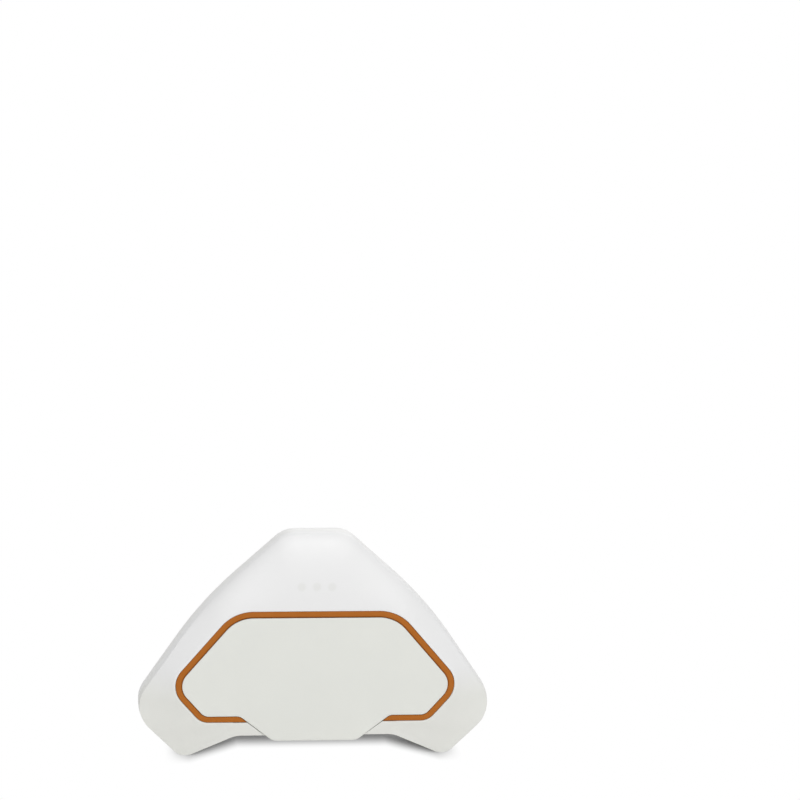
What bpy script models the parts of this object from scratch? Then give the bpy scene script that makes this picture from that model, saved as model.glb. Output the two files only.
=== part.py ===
"""Chest-worn heart recorder, modelled as it comes apart on a bench.

The recorder stands upright on its two feet. X runs across its width, Y from the
front to the back, and Z up. The origin is on the floor, under its middle.
"""
from math import acos, atan2, ceil, cos, pi, radians, sin, tan

import bmesh
import bpy
from mathutils import Matrix, Vector

MM = 0.001

# Casing outline, seen from the front. Its upper corners stand a margin beyond the hinge and the seal
LOBE_RISE = 27.7 * MM
TOP_HALF = 12.4 * MM
TOP_FILLET = 12.0 * MM
FLANK_MARGIN = 12.8 * MM
FLANK_RISE = 1.5 * MM
FLANK_FILLET = 150.0 * MM
SIDE_MARGIN = 16.45 * MM
SIDE_HEIGHT = 18.6 * MM
SIDE_FILLET = 12.0 * MM
FOOT_INNER_HALF = 49.0 * MM
FOOT_WIDTH = 5.4 * MM
FOOT_FILLET = 5.0 * MM
NOTCH_HALF = 30.0 * MM
NOTCH_HEIGHT = 9.0 * MM
NOTCH_FILLET = 8.0 * MM

# Casing in depth
THICKNESS = 21.0 * MM
WALL = 2.0 * MM
PARTING_Y = 0.5 * MM
PARTING_GAP = 0.3 * MM
BACK_ROUND = 5.5 * MM
REAR_INSET = 4.0 * MM
FLARE = 1.2 * MM
RIM_FLAT = 0.8 * MM
FLANK_DROP = 4.8 * MM
LOBE_DROP = 9.0 * MM
FOOT_DROP = 4.0 * MM
NOTCH_DROP = 1.5 * MM
LOBE_CLEAR = 2.6 * MM
LOBE_BLEND = 22.0 * MM
LOW_START = 22.0 * MM
LOW_BLEND = 14.0 * MM
NOTCH_START = 48.0 * MM
NOTCH_BLEND = 16.0 * MM

# Clearances and cutting allowances
SEAT_GAP = 0.3 * MM
RUN_GAP = 0.2 * MM
OVERRUN = 1.5 * MM
FACET_ERROR = 0.1 * MM
WELD = 0.001 * MM
TURN_WELD = 0.01 * MM
SMOOTH_ANGLE = radians(40)
LEAST_ANGLE = radians(0.4)

# Seal ring round the bay, along its centre line
SEAL_BORDER = 4.0 * MM
SEAL_TOP_FILLET = 8.0 * MM
SEAL_SIDE_HALF = 57.05 * MM
SEAL_SIDE = 29.9 * MM
SEAL_SIDE_FILLET = 7.2 * MM
SEAL_BOTTOM_HALF = 44.8 * MM
SEAL_BOTTOM = 15.9 * MM
SEAL_BOTTOM_FILLET = 4.0 * MM
SEAL_WIDTH = 2.2 * MM
SEAL_DEPTH = 0.8 * MM
SEAL_SUNK = 0.4 * MM
SEAL_STEP = 2.2 * MM

# Bay cover and its pull tab
COVER_PROUD = 0.2 * MM
COVER_WALL = 1.8 * MM
COVER_DRAFT = 0.9 * MM
COVER_ROOM = 0.6 * MM
TAB_ROOT_HALF = 29.9 * MM
TAB_ROOT_FILLET = 4.0 * MM
TAB_TIP_HALF = 16.7 * MM
TAB_TIP_HEIGHT = 6.9 * MM
TAB_FILLET = 5.0 * MM

# Hinge: an arched arm on each side carries the cover round a hidden pin
HINGE_DEPTH = 4.0 * MM
HINGE_RISE = 4.3 * MM
PIN_RADIUS = 0.6 * MM
EYE_RADIUS = 1.4 * MM
EYE_RELIEF = 0.15 * MM
ARM_PLACE = 19.5 * MM
ARM_WIDTH = 3.5 * MM
ARM_INNER_RADIUS = 5.9 * MM
ARM_THICKNESS = 1.4 * MM
ARM_START_ANGLE = radians(-25)
ARM_END_ANGLE = radians(90)
EAR_THICKNESS = 1.4 * MM
EAR_HALF_HEIGHT = 1.6 * MM
HINGE_LEDGE = 0.8 * MM
ARM_ROOM = 0.8 * MM

# Deck under the cover, with the mouth of the bay
DECK_WALL = 1.8 * MM
DECK_BORDER = 1.2 * MM
BAY_BAR = 1.0 * MM
BAY_BOTTOM = 19.0 * MM
BAY_LIP = 0.4 * MM
BAY_FILLET = 1.5 * MM

# Battery and its tray
CELL_RADIUS = 7.25 * MM
CELL_LENGTH = 49.2 * MM
CELL_EDGE = 0.8 * MM
NUB_RADIUS = 2.75 * MM
NUB_LENGTH = 1.3 * MM
CELL_ROOM = 0.4 * MM
TRAY_WALL = 1.2 * MM
SHELF_DEPTH = 2.4 * MM
SHELF_RISE = 19.9 * MM
SHELF_UNDERCUT = 1.8 * MM
STANDOFF_RADIUS = 1.9 * MM
STANDOFF_INSET = 2.3 * MM
STANDOFF_RISE = 5.0 * MM

# Battery contacts
CONTACT_THICKNESS = 0.5 * MM
CONTACT_WIDTH = 9.0 * MM
CONTACT_HEIGHT = 11.0 * MM
SPRING_LENGTH = 3.8 * MM
SPRING_RADIUS = 3.2 * MM
SPRING_TIP_RADIUS = 2.0 * MM
SPRING_WIRE = 0.35 * MM
SPRING_TURNS = 3.5
SPRING_STEPS_PER_TURN = 12

# Main board
BOARD_THICKNESS = 1.6 * MM
BOARD_ROOM = 0.6 * MM
BOARD_TOP_MARGIN = 16.5 * MM
BOARD_MARGIN = 21.5 * MM
BOARD_MIDDLE = 27.0 * MM
BOARD_LOW_MARGIN = 12.5 * MM
BOARD_LOW = 14.0 * MM
BOARD_FILLET = 2.0 * MM

# Components: half width, half height and thickness, or radius and length
BLOCK_SIZES = {
    "processor_chip": (5.0 * MM, 5.0 * MM, 1.2 * MM),
    "amplifier_chip": (4.0 * MM, 4.0 * MM, 1.0 * MM),
    "radio_can": (6.5 * MM, 5.0 * MM, 2.0 * MM),
    "clock_crystal": (1.8 * MM, 1.2 * MM, 0.9 * MM),
}
ROUND_SIZES = {
    "buzzer": (4.6 * MM, 3.2 * MM),
    "backup_cell": (3.6 * MM, 2.2 * MM),
    "supply_capacitor": (2.6 * MM, 5.0 * MM),
}
# Their places, as shares of the board's half width and of its height
COMPONENT_PLACE_SHARES = {
    "processor_chip": (-0.16, 0.6),
    "amplifier_chip": (0.45, 0.75),
    "radio_can": (0.17, 0.38),
    "clock_crystal": (-0.38, 0.78),
    "buzzer": (-0.77, 0.49),
    "backup_cell": (0.77, 0.58),
    "supply_capacitor": (0.7, 0.26),
}

# Memory card and its socket
CARD_LENGTH = 15.0 * MM
CARD_WIDTH = 11.0 * MM
CARD_THICKNESS = 0.8 * MM
CARD_INSET = 8.3 * MM
CARD_LIFT = 1.0 * MM
CARD_GRIP = 3.5 * MM
CARD_FILLET = 0.8 * MM
CARD_SOCKET_WALL = 1.2 * MM
CARD_SOCKET_STOP = 2.7 * MM
CARD_SOCKET_ROOF = 0.7 * MM

# Data socket for the download lead
USB_PITCH = 11.0 * MM
USB_WIDTH = 7.7 * MM
USB_HEIGHT = 3.9 * MM
USB_PROUD = 2.0 * MM
USB_SHELL = 0.4 * MM
USB_DEPTH = 5.0 * MM
USB_TONGUE_WIDTH = 4.8 * MM
USB_TONGUE_HEIGHT = 1.0 * MM

# Start button over its switch
BUTTON_INSET = 7.8 * MM
BUTTON_RADIUS = 3.8 * MM
BUTTON_PROUD = 1.2 * MM
BUTTON_DISH = 0.4 * MM
BUTTON_FLANGE = 0.9 * MM
BUTTON_FLANGE_WALL = 0.6 * MM
BUTTON_TRAVEL = 0.5 * MM
PLUNGER_RADIUS = 1.3 * MM
PLUNGER_SUNK = 0.25 * MM
SWITCH_SIDE = 6.0 * MM
SWITCH_HEIGHT = 1.2 * MM
SWITCH_FLOOR = 0.3 * MM

# Indicators behind the top lobe
INDICATOR_RISE = 7.9 * MM
INDICATOR_PITCH = 6.0 * MM
PIPE_RADIUS = 1.5 * MM
PIPE_DEPTH = 1.7 * MM
PIPE_LENGTH = 2.6 * MM
LED_WIDTH = 2.0 * MM
LED_HEIGHT = 1.6 * MM
LED_THICKNESS = 0.8 * MM
SMALL_BOARD_HALF = 11.0 * MM
SMALL_BOARD_HALF_HEIGHT = 3.4 * MM
SMALL_BOARD_THICKNESS = 1.0 * MM
POST_RADIUS = 1.2 * MM

# Snap sockets for the three electrodes
SNAP_TOP_DROP = 9.8 * MM
SNAP_SIDE_INSET = 16.5 * MM
SNAP_SIDE_RISE = 5.4 * MM
SNAP_FLANGE_RADIUS = 5.4 * MM
SNAP_FLANGE_WALL = 1.0 * MM
SNAP_BARREL_RADIUS = 4.1 * MM
SNAP_BORE_RADIUS = 2.1 * MM
SNAP_BORE_DEPTH = 2.6 * MM
SNAP_LIP = 0.3 * MM
SNAP_SUNK = 0.1 * MM

# Leads
LEAD_RADIUS = 0.6 * MM
LEAD_DEPTH = 3.3 * MM
LEAD_BEND = 5.4 * MM
LEAD_PAD = 4.0 * MM
LEAD_SIDE_ROOM = 2.1 * MM

# Casing screws, bosses, board screws
SCREW_TOP_SPREAD = 6.6 * MM
SCREW_TOP_DROP = 13.3 * MM
SCREW_LOW_SPREAD = 17.0 * MM
SCREW_LOW_RISE = 9.5 * MM
SCREW_RADIUS = 1.1 * MM
SCREW_HEAD_RADIUS = 2.3 * MM
SCREW_HEAD_HEIGHT = 1.5 * MM
SCREW_LENGTH = 11.0 * MM
SCREW_SUNK = 0.6 * MM
SCREW_DRIVE_RADIUS = 0.9 * MM
SCREW_DRIVE_DEPTH = 0.8 * MM
BOSS_RADIUS = 3.2 * MM
BOSS_TOP_DEPTH = 5.9 * MM
BOSS_LOW_DEPTH = 3.2 * MM
BOARD_SCREW_RADIUS = 0.8 * MM
BOARD_SCREW_HEAD_RADIUS = 1.6 * MM
BOARD_SCREW_HEAD_HEIGHT = 1.0 * MM
BOARD_SCREW_LENGTH = 4.2 * MM

# Casing gasket in the parting line
GASKET_INSET = 0.8 * MM
GASKET_WIDTH = 0.6 * MM
GASKET_HALF_HEIGHT = 0.6 * MM
GASKET_ROOM = 0.2 * MM

# Blank type label on the back
LABEL_HALF_WIDTH = 17.0 * MM
LABEL_BOTTOM = 40.0 * MM
LABEL_TOP = 54.0 * MM
LABEL_THICKNESS = 0.3 * MM
LABEL_FILLET = 1.5 * MM
LABEL_SUNK = 0.1 * MM

# Depths worked out from the sizes above, from the front to the back
FACE_Y = -THICKNESS / 2
BACK_Y = THICKNESS / 2
PLATEAU_Y = FACE_Y + COVER_PROUD
FRONT_RIM_Y = PARTING_Y - PARTING_GAP / 2
REAR_RIM_Y = PARTING_Y + PARTING_GAP / 2
BACK_INSIDE_Y = BACK_Y - WALL
STRAIGHT_WALL_Y = BACK_Y - BACK_ROUND
COVER_BACK_Y = FACE_Y + COVER_WALL
DECK_Y = COVER_BACK_Y + COVER_ROOM
DECK_BACK_Y = DECK_Y + DECK_WALL
SEAL_FRONT_Y = FACE_Y + SEAL_SUNK
SEAL_BACK_Y = SEAL_FRONT_Y + SEAL_DEPTH
SEAL_FLOOR_Y = SEAL_BACK_Y + SEAT_GAP
DIP_FRONT_Y = COVER_BACK_Y + SEAT_GAP
DIP_BACK_Y = DIP_FRONT_Y + SEAL_DEPTH
DIP_FLOOR_Y = DIP_BACK_Y + SEAT_GAP
HINGE_Y = FACE_Y + HINGE_DEPTH
LEDGE_BACK_Y = SEAL_FLOOR_Y + HINGE_LEDGE
ARM_OUTER_RADIUS = ARM_INNER_RADIUS + ARM_THICKNESS
POCKET_Y = HINGE_Y + ARM_OUTER_RADIUS + ARM_ROOM
TRAY_Y = DECK_BACK_Y + SEAT_GAP
SHELF_Y = TRAY_Y + SHELF_DEPTH
SHELF_BACK_Y = SHELF_Y + TRAY_WALL
CELL_Y = COVER_BACK_Y + SEAT_GAP + CELL_RADIUS
TROUGH_HALF_HEIGHT = CELL_RADIUS + CELL_ROOM
TROUGH_BACK_Y = CELL_Y + TROUGH_HALF_HEIGHT
CARD_Y = SHELF_Y - CARD_LIFT
USB_FACE_Y = SHELF_Y - USB_PROUD
BUTTON_BACK_Y = SHELF_BACK_Y + SEAT_GAP + BUTTON_FLANGE_WALL
SWITCH_FRONT_Y = BUTTON_BACK_Y + BUTTON_TRAVEL + SEAT_GAP
BOARD_Y = SWITCH_FRONT_Y + SWITCH_HEIGHT + SEAT_GAP
BOARD_BACK_Y = BOARD_Y + BOARD_THICKNESS
PART_Y = BOARD_BACK_Y + SEAT_GAP
PIPE_FRONT_Y = FACE_Y + PIPE_DEPTH
LED_Y = PIPE_FRONT_Y + PIPE_LENGTH + SEAT_GAP
SMALL_BOARD_Y = LED_Y + LED_THICKNESS + SEAT_GAP
LEAD_Y = BACK_INSIDE_Y - LEAD_DEPTH
SCREW_SEAT_Y = BACK_Y - SCREW_SUNK - SCREW_HEAD_HEIGHT

# Heights, stacked from the shelf over the battery and the hinge to the top of the casing
SHELF_LOW = BAY_BOTTOM - SHELF_UNDERCUT
SHELF_TOP = SHELF_LOW + SHELF_RISE
SHELF_MIDDLE = (SHELF_LOW + SHELF_TOP) / 2
STANDOFF_HEIGHT = SHELF_LOW + STANDOFF_RISE
BOARD_TOP = SHELF_TOP - BOARD_ROOM
TROUGH_LOW = SHELF_TOP + TRAY_WALL
CELL_HEIGHT = TROUGH_LOW + TROUGH_HALF_HEIGHT
TROUGH_HIGH = CELL_HEIGHT + TROUGH_HALF_HEIGHT
BAY_TOP = TROUGH_HIGH + BAY_LIP
ARM_LOW = BAY_TOP + BAY_BAR
HINGE_HEIGHT = ARM_LOW + SEAT_GAP + ARM_OUTER_RADIUS
OPENING_TOP = HINGE_HEIGHT - HINGE_RISE
COVER_LOW = SEAL_BOTTOM + SEAL_WIDTH / 2 + SEAT_GAP
SEAL_TOP = OPENING_TOP + SEAL_WIDTH / 2
LOBE_START = SEAL_TOP + LOBE_CLEAR
FLANK_HEIGHT = SEAL_TOP + FLANK_RISE
LOFT_CENTRE_HEIGHT = (SEAL_BOTTOM + SEAL_TOP) / 2
POCKET_TOP = HINGE_HEIGHT + EYE_RADIUS + ARM_ROOM
INDICATOR_HEIGHT = HINGE_HEIGHT + INDICATOR_RISE
CASE_HEIGHT = HINGE_HEIGHT + LOBE_RISE

# Half widths and places across, from the battery outwards
TROUGH_HALF = (CELL_LENGTH + NUB_LENGTH + SPRING_LENGTH + 2 * CONTACT_THICKNESS + 5 * SEAT_GAP) / 2
BAY_HALF = TROUGH_HALF - BAY_LIP
SEAL_TOP_HALF = BAY_HALF + SEAL_BORDER
FLANK_HALF = SEAL_TOP_HALF + FLANK_MARGIN
SIDE_HALF = SEAL_SIDE_HALF + SIDE_MARGIN
FOOT_OUTER_HALF = FOOT_INNER_HALF + FOOT_WIDTH
DIP_HALF = TAB_ROOT_HALF + SEAT_GAP + SEAL_STEP
SHELF_HALF = BAY_HALF + SHELF_UNDERCUT
TRAY_HALF = SHELF_HALF + TRAY_WALL
STANDOFF_HALF = SHELF_HALF - STANDOFF_INSET
BOARD_TOP_HALF = STANDOFF_HALF + BOARD_TOP_MARGIN
BOARD_HALF = STANDOFF_HALF + BOARD_MARGIN
BOARD_LOW_HALF = STANDOFF_HALF + BOARD_LOW_MARGIN
LEAD_SIDE = TRAY_HALF + LEAD_SIDE_ROOM
PIN_HALF = ARM_PLACE + ARM_WIDTH / 2 + SEAT_GAP + EAR_THICKNESS
POCKET_HALF = PIN_HALF + ARM_ROOM
POST_PLACE = SMALL_BOARD_HALF - POST_RADIUS
BUTTON_PLACE = BUTTON_INSET - SHELF_HALF
USB_PLACE = BUTTON_PLACE + USB_PITCH
CARD_END = SHELF_HALF - CARD_INSET
CARD_SOCKET_MOUTH = CARD_END - CARD_LENGTH + CARD_GRIP
CARD_SOCKET_END = CARD_END + SEAT_GAP + CARD_SOCKET_STOP
CARD_SOCKET_WIDTH = CARD_WIDTH + 2 * (SEAT_GAP + CARD_SOCKET_WALL)

case_collection = bpy.data.collections.new("holter_monitor")
cutter_collection = bpy.data.collections.new("cutters")


def clear_scene():
    for item in list(bpy.data.objects):
        bpy.data.objects.remove(item, do_unlink=True)
    for collection in (case_collection, cutter_collection):
        bpy.context.scene.collection.children.link(collection)


def make_material(name, colour, roughness, metallic=0.0):
    finish = bpy.data.materials.new(name)
    finish.use_nodes = True
    shader = finish.node_tree.nodes["Principled BSDF"]
    shader.inputs["Base Color"].default_value = (*colour, 1.0)
    shader.inputs["Roughness"].default_value = roughness
    shader.inputs["Metallic"].default_value = metallic
    finish.diffuse_color = (*colour, 1.0)
    return finish


def add_object(name, mesh, finish=None):
    """Link a mesh as a part of the recorder, or as a cutter where it has no finish."""
    item = bpy.data.objects.new(name, mesh)
    if finish:
        mesh.materials.append(finish)
        case_collection.objects.link(item)
    else:
        item.hide_render = True
        item.display_type = "WIRE"
        cutter_collection.objects.link(item)
    return item


def boolean(target, tool, operation):
    step = target.modifiers.new(tool.name, "BOOLEAN")
    step.operation = operation
    step.object = tool
    step.solver = "EXACT"


def cut(target, *tools):
    for tool in tools:
        boolean(target, tool, "DIFFERENCE")


def join(target, *tools):
    for tool in tools:
        boolean(target, tool, "UNION")


def box(name, low, high, finish=None):
    """A block between two opposite corners."""
    low, high = Vector(low), Vector(high)
    shape = bmesh.new()
    bmesh.ops.create_cube(shape, size=1)
    bmesh.ops.scale(shape, vec=high - low, verts=shape.verts)
    mesh = bpy.data.meshes.new(name)
    shape.to_mesh(mesh)
    shape.free()
    item = add_object(name, mesh, finish)
    item.location = (low + high) / 2
    return item


def rod(name, radius, start, end, finish=None, sides=16):
    """A round bar between two points."""
    start, end = Vector(start), Vector(end)
    shape = bmesh.new()
    bmesh.ops.create_cone(shape, cap_ends=True, segments=sides, radius1=radius, radius2=radius,
                          depth=(end - start).length)
    mesh = bpy.data.meshes.new(name)
    shape.to_mesh(mesh)
    shape.free()
    mesh.shade_smooth()
    mesh.set_sharp_from_angle(angle=SMOOTH_ANGLE)
    item = add_object(name, mesh, finish)
    item.location = (start + end) / 2
    item.rotation_euler = (end - start).to_track_quat("Z", "Y").to_euler()
    return item


def turned(name, profile, place, finish=None, direction=(0, 1, 0), sides=24):
    """A turned piece: profile points are (radius, distance along the direction), last point first."""
    shape = bmesh.new()
    line = [shape.verts.new((radius, 0, along)) for radius, along in reversed(profile)]
    for first, second in zip(line, line[1:]):
        shape.edges.new((first, second))
    mesh = bpy.data.meshes.new(name)
    shape.to_mesh(mesh)
    shape.free()
    item = add_object(name, mesh, finish)
    item.location = place
    item.rotation_euler = Vector(direction).to_track_quat("Z", "Y").to_euler()
    spin = item.modifiers.new("turn", "SCREW")
    spin.steps = sides
    spin.render_steps = sides
    spin.use_merge_vertices = True
    spin.merge_threshold = TURN_WELD
    return item


def offset_corners(corners, distance):
    """Move every edge of a clockwise outline outwards. Fillets grow or shrink with it."""
    moved = []
    for index, (across, up, fillet) in enumerate(corners):
        here = Vector((across, up))
        came = (here - Vector(corners[index - 1][:2])).normalized()
        goes = (Vector(corners[(index + 1) % len(corners)][:2]) - here).normalized()
        first, second = Vector((-came.y, came.x)), Vector((-goes.y, goes.x))
        place = here + (first + second) * distance / (1 + first.dot(second))
        convex = came.x * goes.y - came.y * goes.x < 0
        moved.append((place.x, place.y, max(fillet + (distance if convex else -distance), FACET_ERROR)))
    return moved


def fitted_corners(corners):
    """Limit each fillet, so that two neighbours never meet on the side between them."""
    places = [Vector(corner[:2]) for corner in corners]
    following = places[1:] + places[:1]
    sides = [(after - place).length for place, after in zip(places, following)]
    runs = []
    for index, corner in enumerate(corners):
        opening = (places[index - 1] - places[index]).angle(following[index] - places[index])
        runs.append(corner[2] / tan(opening / 2))
    room = [side / max(side, run + after) for side, run, after in zip(sides, runs, runs[1:] + runs[:1])]
    return [(across, up, fillet * min(room[index - 1], room[index]))
            for index, (across, up, fillet) in enumerate(corners)]


def round_corners(corners, steps=None):
    """Turn corners with fillet radii into the points of a closed outline."""
    corners = fitted_corners(corners)
    points = []
    for index, (across, up, fillet) in enumerate(corners):
        here = Vector((across, up))
        back = (Vector(corners[index - 1][:2]) - here).normalized()
        ahead = (Vector(corners[(index + 1) % len(corners)][:2]) - here).normalized()
        opening = back.angle(ahead)
        centre = here + (back + ahead).normalized() * fillet / sin(opening / 2)
        start = here + back * fillet / tan(opening / 2) - centre
        end = here + ahead * fillet / tan(opening / 2) - centre
        first = atan2(start.y, start.x)
        sweep = (atan2(end.y, end.x) - first + pi) % (2 * pi) - pi
        count = steps or max(1, ceil(abs(sweep) / (2 * acos(1 - min(1, FACET_ERROR / fillet)))))
        for step in range(count + 1):
            angle = first + sweep * step / count
            points.append(centre + fillet * Vector((cos(angle), sin(angle))))
    return points


def mirrored(corners):
    """Complete a right-hand list of corners with its mirror image."""
    return corners + [(-across, up, fillet) for across, up, fillet in reversed(corners)]


def case_corners(flare=0):
    """The casing outline. The flare draws it in at the flanks, where the bevel ends."""
    return mirrored([
        (TOP_HALF, CASE_HEIGHT, TOP_FILLET),
        (FLANK_HALF - flare, FLANK_HEIGHT, FLANK_FILLET),
        (SIDE_HALF - flare, SIDE_HEIGHT, SIDE_FILLET),
        (FOOT_OUTER_HALF - flare, 0, FOOT_FILLET),
        (FOOT_INNER_HALF, 0, FOOT_FILLET),
        (NOTCH_HALF, NOTCH_HEIGHT, NOTCH_FILLET),
    ])


def seal_corners():
    return mirrored([
        (SEAL_TOP_HALF, SEAL_TOP, SEAL_TOP_FILLET),
        (SEAL_SIDE_HALF, SEAL_SIDE, SEAL_SIDE_FILLET),
        (SEAL_BOTTOM_HALF, SEAL_BOTTOM, SEAL_BOTTOM_FILLET),
    ])


def cover_corners(draft=0):
    """The cover's outline. The draft draws its edge in, but not the sides of its tab."""
    *body, bottom = offset_corners(seal_corners(), -SEAL_WIDTH / 2 - SEAT_GAP - draft)[:3]
    share = (bottom[1] - TAB_TIP_HEIGHT) / (COVER_LOW - TAB_TIP_HEIGHT)
    root = TAB_TIP_HALF + (TAB_ROOT_HALF - TAB_TIP_HALF) * share
    return mirrored([
        *body, bottom,
        (root, bottom[1], TAB_ROOT_FILLET),
        (TAB_TIP_HALF, TAB_TIP_HEIGHT, TAB_FILLET),
    ])


def tab_corners():
    """The tab with a strip of the cover above its root."""
    strip_half = TAB_ROOT_HALF + TAB_ROOT_FILLET
    strip_low = COVER_LOW + FACET_ERROR
    return mirrored([
        (strip_half, strip_low + SEAL_WIDTH, FACET_ERROR),
        (strip_half, strip_low, FACET_ERROR),
        (TAB_ROOT_HALF, strip_low, TAB_ROOT_FILLET),
        (TAB_TIP_HALF, TAB_TIP_HEIGHT, TAB_FILLET),
    ])


def mesh_from_curve(name, curve, placing, finish=None):
    """Evaluate a curve, weld its caps and keep it as a mesh object."""
    guide = bpy.data.objects.new(name + "_guide", curve)
    bpy.context.scene.collection.objects.link(guide)
    guide.matrix_world = placing
    bpy.context.view_layer.update()
    mesh = bpy.data.meshes.new_from_object(guide.evaluated_get(bpy.context.evaluated_depsgraph_get()))
    mesh.name = name
    mesh.materials.clear()
    bpy.data.objects.remove(guide, do_unlink=True)
    bpy.data.curves.remove(curve)
    shape = bmesh.new()
    shape.from_mesh(mesh)
    bmesh.ops.remove_doubles(shape, verts=shape.verts, dist=WELD)
    bmesh.ops.recalc_face_normals(shape, faces=shape.faces)
    shape.to_mesh(mesh)
    shape.free()
    item = add_object(name, mesh, finish)
    item.matrix_world = placing
    return item


def plate(name, outlines, low, high, finish=None, across="Y"):
    """A flat outline, with holes where it has more than one, between two levels of Y or X."""
    curve = bpy.data.curves.new(name, "CURVE")
    curve.dimensions = "2D"
    curve.fill_mode = "BOTH"
    curve.extrude = (high - low) / 2
    for outline in outlines:
        spline = curve.splines.new("POLY")
        spline.points.add(len(outline) - 1)
        for point, place in zip(spline.points, outline):
            point.co = (*place, 0, 1)
        spline.use_cyclic_u = True
    middle = (low + high) / 2
    if across == "Y":
        placing = Matrix.Translation((0, middle, 0)) @ Matrix.Rotation(pi / 2, 4, "X")
    else:
        turn = Matrix(((0, 0, 1, 0), (1, 0, 0, 0), (0, 1, 0, 0), (0, 0, 0, 1)))
        placing = Matrix.Translation((middle, 0, 0)) @ turn
    return mesh_from_curve(name, curve, placing, finish)


def wire(name, route, radius, finish, smooth=True):
    """A wire along a route. A smooth route is rounded through its points first."""
    points = [Vector(place) for place in route]
    if smooth:
        points = smooth_route(points)
    curve = bpy.data.curves.new(name, "CURVE")
    curve.dimensions = "3D"
    curve.bevel_depth = radius
    curve.bevel_resolution = 2
    curve.use_fill_caps = True
    spline = curve.splines.new("POLY")
    spline.points.add(len(points) - 1)
    for point, place in zip(spline.points, points):
        point.co = (*place, 1)
    return mesh_from_curve(name, curve, Matrix.Identity(4), finish)


def smooth_route(points, steps=5):
    """Catmull-Rom curve through the points of a route."""
    padded = [points[0] * 2 - points[1], *points, points[-1] * 2 - points[-2]]
    route = []
    for before, first, second, after in zip(padded, padded[1:], padded[2:], padded[3:]):
        for step in range(steps):
            share = step / steps
            route.append((2 * first + (second - before) * share
                          + (2 * before - 5 * first + 4 * second - after) * share ** 2
                          + (3 * first - before - 3 * second + after) * share ** 3) / 2)
    return route + [points[-1]]


def loft(name, rings, finish=None):
    """A closed body through rings of equal point counts, with flat ends."""
    shape = bmesh.new()
    rows = [[shape.verts.new(place) for place in ring] for ring in rings]
    for row, following in zip(rows, rows[1:]):
        for index in range(len(row)):
            shape.faces.new((row[index - 1], row[index], following[index], following[index - 1]))
    shape.faces.new(rows[0])
    shape.faces.new(rows[-1])
    bmesh.ops.recalc_face_normals(shape, faces=shape.faces)
    mesh = bpy.data.meshes.new(name)
    shape.to_mesh(mesh)
    shape.free()
    return add_object(name, mesh, finish)


def reach(outline, angle):
    """Distance from the loft centre to an outline, in the direction of an angle."""
    centre = Vector((0, LOFT_CENTRE_HEIGHT))
    direction = Vector((cos(angle), sin(angle)))
    best = 0
    for index, point in enumerate(outline):
        first, second = outline[index - 1] - centre, point - centre
        along = second - first
        spread = direction.x * along.y - direction.y * along.x
        if abs(spread) < FACET_ERROR * FACET_ERROR:
            continue
        distance = (first.x * along.y - first.y * along.x) / spread
        share = (first.x * direction.y - first.y * direction.x) / spread
        if -FACET_ERROR <= share <= 1 + FACET_ERROR:
            best = max(best, distance)
    return best


def smooth_step(value):
    value = min(1, max(0, value))
    return value * value * (3 - 2 * value)


def loft_angles(*outlines):
    """The directions in which the outlines have their points, each direction once."""
    found = sorted(atan2(place.y - LOFT_CENTRE_HEIGHT, place.x) for outline in outlines for place in outline)
    kept = [found[0]]
    for angle in found[1:]:
        if angle - kept[-1] > LEAST_ANGLE:
            kept.append(angle)
    return kept


def ring_at(angles, distances, depths):
    return [(distance * cos(angle), depth, LOFT_CENTRE_HEIGHT + distance * sin(angle))
            for angle, distance, depth in zip(angles, distances, depths)]


def front_rings(shrink, rim_y):
    """Rings of the front form, from its flat face round the bay back to the parting line.

    The flanks slope straight down to a crease. The top lobe rolls over without one.
    """
    case = round_corners(offset_corners(case_corners(), -shrink))
    crease = round_corners(offset_corners(case_corners(FLARE), -shrink))
    plateau = round_corners(offset_corners(seal_corners(), SEAL_WIDTH / 2 + RIM_FLAT))
    angles = loft_angles(case, plateau)
    outer = [reach(case, angle) for angle in angles]
    inner = [reach(plateau, angle) for angle in angles]
    lobes, drops, middles = [], [], []
    for angle, distance in zip(angles, outer):
        height = LOFT_CENTRE_HEIGHT + distance * sin(angle)
        lobe = smooth_step((height - LOBE_START) / LOBE_BLEND)
        low = smooth_step((LOW_START - height) / LOW_BLEND)
        notch = smooth_step((NOTCH_START - abs(distance * cos(angle))) / NOTCH_BLEND)
        lowest = FOOT_DROP + (NOTCH_DROP - FOOT_DROP) * notch
        drops.append((LOBE_DROP - shrink) * lobe + (1 - lobe) * (FLANK_DROP * (1 - low) + lowest * low))
        lobes.append(lobe)
        middles.append(distance * lobe + reach(crease, angle) * (1 - lobe))
    start_y = PLATEAU_Y + shrink
    slope_steps = 6
    rings = []
    for step in range(slope_steps + 1):
        turn = step / slope_steps * pi / 2
        rings.append(ring_at(
            angles,
            [first + (last - first) * sin(turn) for first, last in zip(inner, middles)],
            [start_y + drop * ((1 - lobe) * sin(turn) + lobe * (1 - cos(turn)))
             for drop, lobe in zip(drops, lobes)]))
    for share in (0.5, 1.0):
        rings.append(ring_at(
            angles,
            [first + (last - first) * sin(share * pi / 2) for first, last in zip(middles, outer)],
            [(start_y + drop) * (1 - share) for drop in drops]))
    rings.append(ring_at(angles, outer, [rim_y] * len(angles)))
    return rings


def rear_rings(shrink, rim_y):
    """Rings of the rear form, from the parting line to its flat back."""
    case = round_corners(offset_corners(case_corners(), -shrink))
    angles = loft_angles(case)
    outer = [reach(case, angle) for angle in angles]
    back_y = BACK_Y - shrink
    rings = [ring_at(angles, outer, [rim_y] * len(angles))]
    round_steps = 4
    for step in range(round_steps + 1):
        turn = step / round_steps * pi / 2
        rings.append(ring_at(
            angles,
            [distance - REAR_INSET * (1 - cos(turn)) for distance in outer],
            [STRAIGHT_WALL_Y + (back_y - STRAIGHT_WALL_Y) * sin(turn)] * len(angles)))
    return rings


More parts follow.
